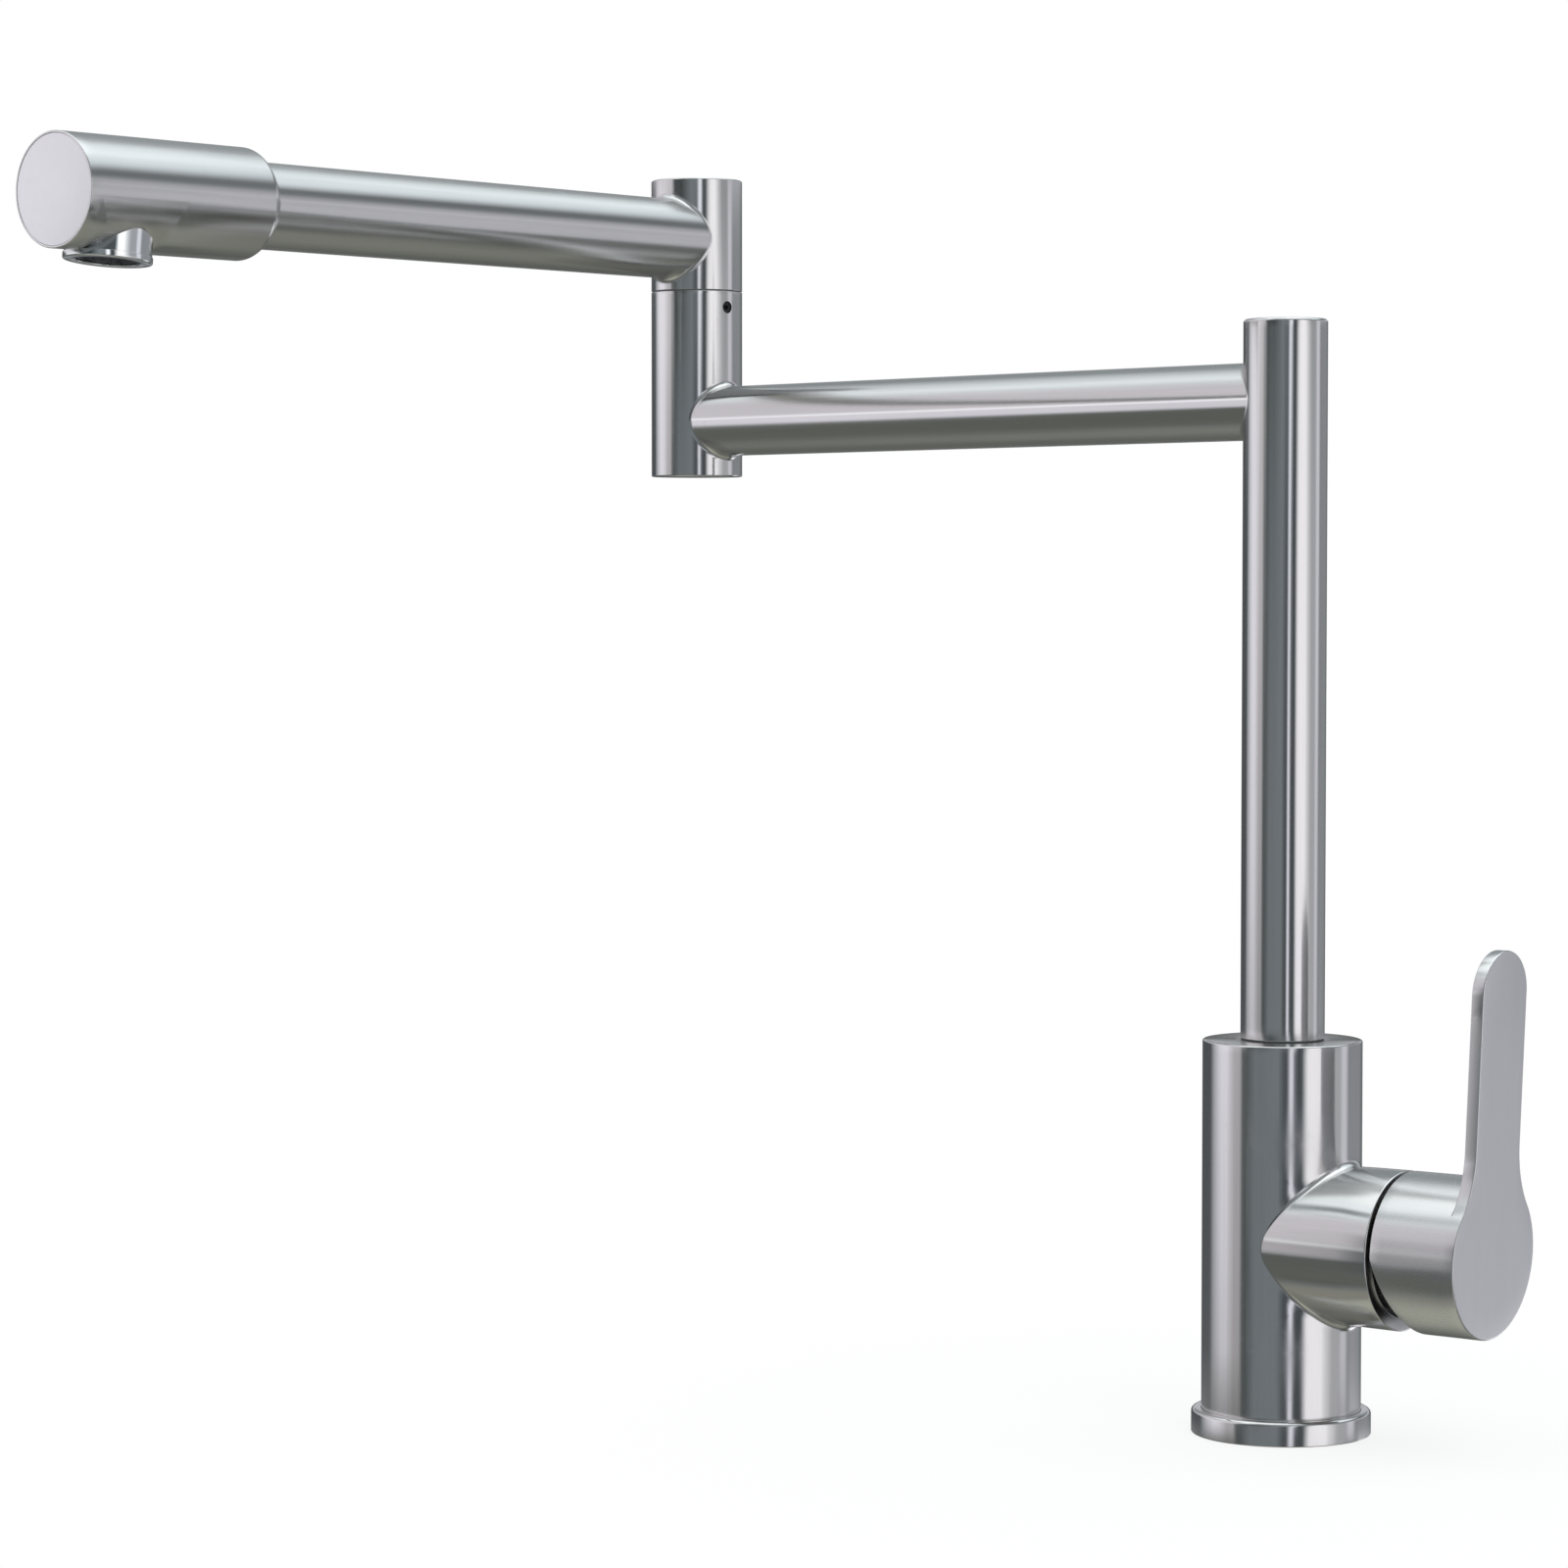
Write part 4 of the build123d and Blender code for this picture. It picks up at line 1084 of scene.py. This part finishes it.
@dataclass(frozen=True)
class LeverHandle:
    """Cup over the branch's mouth and flat paddle in one piece, with a wedge-shaped gap below."""

    axis_z: float = 58.0
    radius: float = 23.6
    front: float = 71.8
    lean: float = 2.5
    plate_t: float = 4.0
    width: float = 25.4
    tip: float = 89.8
    neck_r: float = 30.0
    edge: float = 0.5
    back_edge: float = 0.35
    rim: float = 44.2
    rim_edge: float = 0.4
    wall: float = 2.0
    lift: float = 18.0
    boss_r: float = 9.0
    boss_x: float = 54.8
    outline_points: tuple[int, int, int, int] = (40, 14, 40, 100)
    face_shares: Point = (0.0, 0.35, 0.7)
    edge_rings: tuple[int, int, int] = (7, 5, 6)
    wall_rings: int = 9
    flat_limit: float = 0.995

    def outline(self) -> tuple[Array, Array]:
        """Outline of the paddle, seen along the branch, and its outward directions.

        From the tip it goes down one side: a quarter circle, a straight side, a hollow neck arc whose centre
        is neck_r from the side and radius + neck_r from the axis, and the arc of the cup. The other side
        mirrors it.

        Returns:
            Points (side, up) in order round the outline, and unit normals.
        """
        tip_points, side_points, neck_points, cup_points = self.outline_points
        half = self.width / 2
        across = half + self.neck_r
        centre = np.array([across, sqrt((self.radius + self.neck_r) ** 2 - across**2)])
        last = np.arctan2(*centre)
        up = np.linspace(self.tip - half, centre[1], side_points)[1:-1]

        def normals(start: float, end: float, count: int) -> Array:
            """Unit vectors from one bearing to another."""
            bearing = np.linspace(start, end, count)
            return np.stack([np.sin(bearing), np.cos(bearing)], axis=1)

        tip, neck = normals(0.0, np.pi / 2, tip_points), normals(np.pi / 2, last, neck_points)
        cup = normals(last, np.pi, cup_points)[1:]
        side = np.stack([np.full_like(up, half), up], axis=1)
        top = np.array([0.0, self.tip - half])
        right = np.concatenate([top + half * tip, side, centre - self.neck_r * neck, self.radius * cup])
        outward = np.concatenate([tip, np.tile([1.0, 0.0], (len(up), 1)), neck, cup])
        whole, whole_n = (np.concatenate([a, a[-2:0:-1] * np.array([-1.0, 1.0])]) for a in (right, outward))
        return whole, whole_n

    def build(self) -> None:
        """Sweeps one line round the outline: front, edge, side, back of the paddle, cup, rim and hollow.

        The front plane is front + up tan(lean) along the branch. The rim is at one distance along the branch
        in its upper half, and below the axis it steps back by the depth times the tangent of the lift.
        """
        outline, normal = self.outline()
        bearing = np.arctan2(outline[:, 0], outline[:, 1])
        circle = np.stack([np.sin(bearing), np.cos(bearing)], axis=1)
        on_cup = np.abs(np.hypot(outline[:, 0], outline[:, 1]) - self.radius) < ON_WALL
        rows: list[tuple[Array, Array]] = []

        def row(flat: Array, x: Array) -> None:
            """Keeps one ring of the sweep: its places seen along the branch, and their distances along it."""
            rows.append((flat, np.broadcast_to(x, flat.shape[:1])))

        def plane(flat: Array, behind: float) -> Array:
            """Distance along the branch of the front plane, less a depth behind it."""
            return self.front + flat[:, 1] * tan(radians(self.lean)) - behind

        front_arc, back_arc, rim_arc = (np.linspace(0.0, np.pi / 2, rings) for rings in self.edge_rings)
        for share in self.face_shares:
            row(outline * share, plane(outline * share, 0.0))
        for a in front_arc:
            flat = outline - normal * self.edge * (1 - np.sin(a))
            row(flat, plane(flat, self.edge * (1 - np.cos(a))))
        front_rows = len(rows)
        for a in back_arc:
            flat = outline - normal * self.back_edge * (1 - np.cos(a))
            behind = self.plate_t - self.back_edge * (1 - np.sin(a))
            row(np.where(on_cup[:, None], outline, flat), plane(outline, behind))
        cup, inner, boss = (circle * r for r in (self.radius, self.radius - self.wall, self.boss_r))
        wall_top = plane(cup, self.plate_t)
        rim_x = self.rim + np.clip(-cup[:, 1], 0.0, None) * tan(radians(self.lift))
        for share in np.linspace(0.0, 1.0, self.wall_rings)[:-1]:
            row(cup, wall_top + (rim_x + self.rim_edge - wall_top) * share)
        for a in rim_arc:
            edge_r = self.radius - self.rim_edge * (1 - np.cos(a))
            row(circle * edge_r, rim_x + self.rim_edge * (1 - np.sin(a)))
        row(inner, rim_x)
        row(inner, plane(inner, self.plate_t))
        row(boss, plane(boss, self.plate_t))
        row(boss, self.boss_x)
        row(boss * 0.0, self.boss_x)
        flat, x = (np.stack(parts) for parts in zip(*rows))
        points = np.dstack([x, flat[..., 0], flat[..., 1] + self.axis_z])
        grain = np.dstack([flat, x])
        grain[:front_rows] = grain[:front_rows][..., [0, 2, 1]]
        skin = Skin()
        skin.add(points, grain, close_cols=True)
        self.dress_face(show(skin, UPRIGHT, "lever_handle", Body.LEVER, SATIN_STEEL).data)

    def dress_face(self, mesh: bpy.types.Mesh) -> None:
        """Gives the flat front, and the paddle's back, the finer face finish.

        Args:
            mesh: the handle's mesh.
        """
        mesh.materials.append(FACE_STEEL.material())
        normals = np.zeros(len(mesh.polygons) * 3, np.float32)
        mesh.polygons.foreach_get("normal", normals)
        flat = np.abs(normals.reshape(-1, 3)[:, 0]) > self.flat_limit
        mesh.polygons.foreach_set("material_index", flat.astype(np.int32))
        mesh.update()


class PlainNodes:
    """Nodes that keep their own shape and get a finish."""

    finishes: dict[Finish, str] = {
        BRASS: "inlet_block riser_spigot elbow_socket elbow_spigot aerator_socket",
        TURNED_STEEL: "swivel_bush",
        RUBBER: "base_gasket seat_seals disc_gasket riser_seals elbow_seals aerator_washer",
        CERAMIC: "fixed_ceramic_disc moving_ceramic_disc",
        WHITE_PLASTIC: "cartridge_base cartridge_casing stem_rotor disc_carrier",
        INSERT_PLASTIC: "aerator_insert",
        BLACK_PLASTIC: "riser_slip_ring elbow_slip_ring",
        # The cartridge nut is made black as painted shade for the shadowed gap under the handle; the other
        # nodes here are black steel.
        BLACK_STEEL_AND_PAINTED_SHADE: "cartridge_nut riser_grub_screw elbow_grub_screw handle_grub_screw stem_pin control_stem",
    }

    def dress(self) -> None:
        """Puts each finish on its nodes."""
        for finish, nodes in self.finishes.items():
            for node in nodes.split():
                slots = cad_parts[node].data.materials
                slots.clear()
                slots.append(finish.material())
                log.info("%s: %s", node, finish.name)


@dataclass(frozen=True)
class Panel:
    """Soft-edged part of the studio as the tap sees it, painted over the parts before it.

    Heights and bearings from the camera say where it starts, is full, is still full and ends.
    """

    name: str
    tone: Point
    heights: tuple[float, float, float, float]
    bearings: tuple[float, ...] = ()


LEFT, RIGHT = (-181, -180, -30, 30), (-30, 30, 180, 181)
LEFT_LOW, FRONT_LOW = (-12.5, -8.5, 1.5, 3), (-30, -22, 1.5, 3)
LEFT_HIGH, FRONT_HIGH = (1.5, 3, 5.5, 8.5), (1.5, 3, 17, 23)
MIDDLE, CORNER = (-12, -10, 5.5, 8.5), (8, 14, 47, 56)
PANELS = (
    Panel("left table", (0.35, 0.36, 0.30), (-91, -90, -59, -55), LEFT),
    Panel("left table edge", (0.21, 0.21, 0.18), (-58, -55, -50, -44), LEFT),
    Panel("left floor", (0.10, 0.105, 0.095), (-48, -41, -14, -11), LEFT),
    Panel("left wall", (0.55, 0.53, 0.56), (-13, -8, 36, 42), LEFT),
    Panel("left ceiling", (0.79, 0.85, 0.87), (34, 43, 90, 91), LEFT),
    Panel("left ceiling light", (0.95, 1.0, 1.0), (53, 60, 90, 91), LEFT),
    Panel("right table", (0.215, 0.22, 0.19), (-91, -90, -45, -40), RIGHT),
    Panel("right table edge", (0.085, 0.09, 0.08), (-46, -41, -35, -29), RIGHT),
    Panel("right floor", (0.05, 0.052, 0.045), (-33, -28, -19, -14), RIGHT),
    Panel("right wall", (0.54, 0.54, 0.58), (-17, -9, 8, 22), RIGHT),
    Panel("right picture rail", (0.12, 0.13, 0.135), (17, 24, 30, 35), RIGHT),
    Panel("right ceiling", (0.76, 0.83, 0.86), (29, 40, 90, 91), RIGHT),
    Panel("right ceiling light", (1.2, 1.28, 1.3), (50, 60, 90, 91), RIGHT),
    Panel("dim corner behind left", (0.20, 0.22, 0.225), CORNER, (-181, -180, -168, -122)),
    Panel("dim corner behind right", (0.20, 0.22, 0.225), CORNER, (136, 166, 180, 181)),
    Panel("dim ceiling above the camera", (0.22, 0.235, 0.24), (9, 13, 54, 64), (-60, -44, 44, 60)),
    Panel("dim ceiling at the front right", (0.24, 0.26, 0.27), (24, 33, 55, 59), (30, 42, 80, 88)),
    Panel("ceiling beam", (0.16, 0.18, 0.18), (42.5, 45, 48, 50.5), (-104, -97, -76, -66)),
    Panel("low side light", (1.05, 1.04, 1.10), (-34, -28, -17, -14), (112, 120, 138, 146)),
    Panel("room", (0.15, 0.17, 0.18), MIDDLE),
    Panel("front of the room", (0.15, 0.17, 0.18), (-30, -22, 17, 23), (-64, -58, 78, 86)),
    Panel("dark left back", (0.06, 0.065, 0.07), MIDDLE, (-181, -180, -134, -122)),
    Panel("pale right wall", (0.20, 0.21, 0.22), MIDDLE, (96, 104, 138, 162)),
    Panel("dark right back", (0.06, 0.065, 0.06), MIDDLE, (140, 168, 180, 181)),
    Panel("low doorway", (0.06, 0.068, 0.07), FRONT_LOW, (-68, -65, -60, -46)),
    Panel("wing of the left soft box", (0.41, 0.395, 0.405), LEFT_LOW, (-92, -84, -70, -66)),
    Panel("left soft box", (0.72, 0.71, 0.76), LEFT_LOW, (-130, -104, -92, -79)),
    Panel("low window frame", (0.05, 0.057, 0.063), FRONT_LOW, (-12, -3, 22, 26)),
    Panel("low strip light", (0.74, 0.75, 0.82), FRONT_LOW, (1.5, 6, 7.6, 11.5)),
    Panel("low right side", (0.36, 0.365, 0.38), FRONT_LOW, (58, 66, 84, 90)),
    Panel("right soft box", (0.84, 0.83, 0.86), FRONT_LOW, (23, 31, 54, 72)),
    Panel("high doorway", (0.025, 0.03, 0.03), FRONT_HIGH, (-66, -58, -36, -14)),
    Panel("high wing of the left soft box", (0.48, 0.49, 0.50), LEFT_HIGH, (-90, -80, -62, -55)),
    Panel("high left soft box", (0.92, 0.91, 0.95), LEFT_HIGH, (-128, -112, -86, -66)),
    Panel("high window frame", (0.05, 0.055, 0.06), FRONT_HIGH, (12, 18, 25, 32)),
    Panel("high strip light", (0.84, 0.87, 0.93), FRONT_HIGH, (2, 8, 11.5, 16)),
    Panel("high right side", (0.27, 0.28, 0.29), FRONT_HIGH, (56, 66, 84, 90)),
    Panel("high right soft box", (0.92, 0.91, 0.92), FRONT_HIGH, (24, 37, 48, 68)),
    Panel("right lamp", (0.54, 0.54, 0.58), (-16, -10, 6, 11), (84, 90, 98, 105)),
)


@dataclass(frozen=True)
class Studio:
    """Pale floor, white ground, a soft studio and the camera of the photograph. Lengths are in metres."""

    camera_place: Point = (0.7404, -1.1946, 0.25435)
    camera_heading: tuple[float, float] = (-0.6137, 0.7895)
    camera_pitch: float = -2.48
    lens: float = 108.0
    sensor: float = 36.0
    floor_half: float = 3.0
    floor_drop: float = 0.0002
    floor_colour: Point = (0.86, 0.86, 0.855)
    floor_dark: float = 0.985
    floor_fade: tuple[float, float, float, float] = (0.03, 0.25, 0.84, 1.0)
    cloud_scale: float = 60.0
    cloud_ends: tuple[float, float] = (0.3, 0.7)
    level: float = 1.6
    room_tone: Point = (0.17, 0.185, 0.19)
    lamp_size: float = 1.4
    lamp_energy: float = 14.0
    lamp_place: Point = (1.6, -0.9, 1.9)
    lamp_aim: Point = (0.0, 0.0, 0.15)
    white: tuple[float, float, float, float] = (1.0, 1.0, 1.0, 1.0)

    def put(self, data: bpy.types.ID, place: Point, view: Optional[Vector] = None) -> bpy.types.Object:
        """New object of the studio.

        Args:
            data: its mesh, light or camera, which also gives its name.
            place: its place.
            view: the direction that it looks in.
        Returns:
            The object.
        """
        item = bpy.data.objects.new(data.name, data)
        item.location = place
        if view is not None:
            item.rotation_euler = view.to_track_quat("-Z", "Y").to_euler()
        bpy.context.scene.collection.objects.link(item)
        return item

    def set_camera(self) -> None:
        """Camera at the photograph's place and angle."""
        data = bpy.data.cameras.new("camera")
        data.lens, data.sensor_width, data.sensor_height = self.lens, self.sensor, self.sensor
        level, rise = cos(radians(self.camera_pitch)), sin(radians(self.camera_pitch))
        view = Vector((self.camera_heading[0] * level, self.camera_heading[1] * level, rise))
        bpy.context.scene.camera = self.put(data, self.camera_place, view)

    def set_floor(self) -> None:
        """Pale floor that keeps the tap's shadow and fades to the white ground around it."""
        half = self.floor_half
        mesh = bpy.data.meshes.new("floor")
        corners = [(-half, -half, 0), (half, -half, 0), (half, half, 0), (-half, half, 0)]
        mesh.from_pydata(corners, [], [(0, 1, 2, 3)])
        floor = self.put(mesh, (0.0, 0.0, -self.floor_drop))
        material = bpy.data.materials.new("pale_floor")
        material.use_nodes = True
        build = NodeBuilder(material.node_tree)
        place = build.add("ShaderNodeTexCoord").outputs["Object"]
        fade = build.spread(build.vector("LENGTH", place, out="Value"), *self.floor_fade)
        share = build.math("MULTIPLY", fade, build.add("ShaderNodeLightPath").outputs["Is Camera Ray"])
        cloud = build.noise(place, self.cloud_scale, 3.0)
        dark = [c * self.floor_dark for c in self.floor_colour]
        colour = build.ramp(cloud, list(zip(self.cloud_ends, (dark, self.floor_colour))))
        plain = build.add("ShaderNodeBsdfDiffuse", {"Color": colour}).outputs[0]
        white = build.add("ShaderNodeEmission", {"Color": self.white, "Strength": 1.0}).outputs[0]
        mix = build.add("ShaderNodeMixShader", {0: share, 1: plain, 2: white}).outputs[0]
        build.add("ShaderNodeOutputMaterial", {"Surface": mix})
        mesh.materials.append(material)
        floor.visible_glossy = False

    def set_world(self) -> None:
        """White ground for the camera, and a soft studio round the tap for light and reflections.

        The studio is a function of a direction's height and of its bearing from the camera, positive to the
        right. It starts with the room's tone, and each panel is mixed in by its strength at that height times
        its strength at that bearing.
        """
        world = bpy.data.worlds.new("studio")
        bpy.context.scene.world = world
        world.use_nodes = True
        build = NodeBuilder(world.node_tree)
        direction = build.add("ShaderNodeTexCoord").outputs["Generated"]
        x, y = -self.camera_heading[0], -self.camera_heading[1]
        ahead, right = (
            build.vector("DOT_PRODUCT", direction, axis, "Value") for axis in ((x, y, 0.0), (-y, x, 0.0))
        )
        up = build.add("ShaderNodeSeparateXYZ", {0: direction}).outputs[2]
        bearing = build.spread(build.math("ARCTAN2", right, ahead), -np.pi, np.pi)
        height = build.spread(build.math("ARCSINE", up), -np.pi / 2, np.pi / 2)

        def mask(value: Socket, edges: Sequence[float], span: float) -> Socket:
            """Strength that rises between the first two edges and falls between the last two."""
            stops = [(edge / span + 0.5, (s, s, s)) for edge, s in zip(edges, (0.0, 1.0, 1.0, 0.0))]
            return build.ramp(value, [stop for stop in stops if 0.0 <= stop[0] <= 1.0])

        tone = (*self.room_tone, 1.0)
        for panel in PANELS:
            strength = mask(height, panel.heights, 180.0)
            if panel.bearings:
                strength = build.math("MULTIPLY", strength, mask(bearing, panel.bearings, 360.0))
            inputs = {0: strength, 6: tone, 7: (*panel.tone, 1.0)}
            mixed = build.add("ShaderNodeMix", inputs, data_type="RGBA")
            mixed.label, tone = panel.name, mixed.outputs[2]
        path = build.add("ShaderNodeLightPath").outputs
        clear = build.math("ADD", path["Is Camera Ray"], path["Is Transmission Ray"])
        studio, white = (
            build.add("ShaderNodeBackground", {"Color": colour, "Strength": strength}).outputs[0]
            for colour, strength in ((tone, self.level), (self.white, 1.0))
        )
        mix = build.add("ShaderNodeMixShader", {0: clear, 1: studio, 2: white}).outputs[0]
        build.add("ShaderNodeOutputWorld", {"Surface": mix})

    def set_lamp(self) -> None:
        """One large soft lamp from the upper right, for a soft shadow."""
        data = bpy.data.lights.new("key", "AREA")
        data.shape, data.size, data.size_y = "RECTANGLE", self.lamp_size, self.lamp_size
        data.energy = self.lamp_energy
        lamp = self.put(data, self.lamp_place, Vector(self.lamp_aim) - Vector(self.lamp_place))
        lamp.visible_glossy = False

    def build(self) -> None:
        """Sets up camera, floor, world and lamp."""
        bpy.context.scene.view_settings.view_transform = "Standard"
        self.set_camera()
        self.set_floor()
        self.set_world()
        self.set_lamp()


def main() -> None:
    """Builds the studio and the tap's pieces in order."""
    logging.basicConfig(level=logging.INFO, format="%(name)s: %(message)s")
    fine_grain_group()
    clouding_group()
    Studio().build()
    BaseAndBody().build()
    RiserAndLowerArm().build()
    Elbow().build()
    UpperArmAndHead().build()
    LeverHandle().build()
    PlainNodes().dress()


if __name__ == "__main__":
    main()
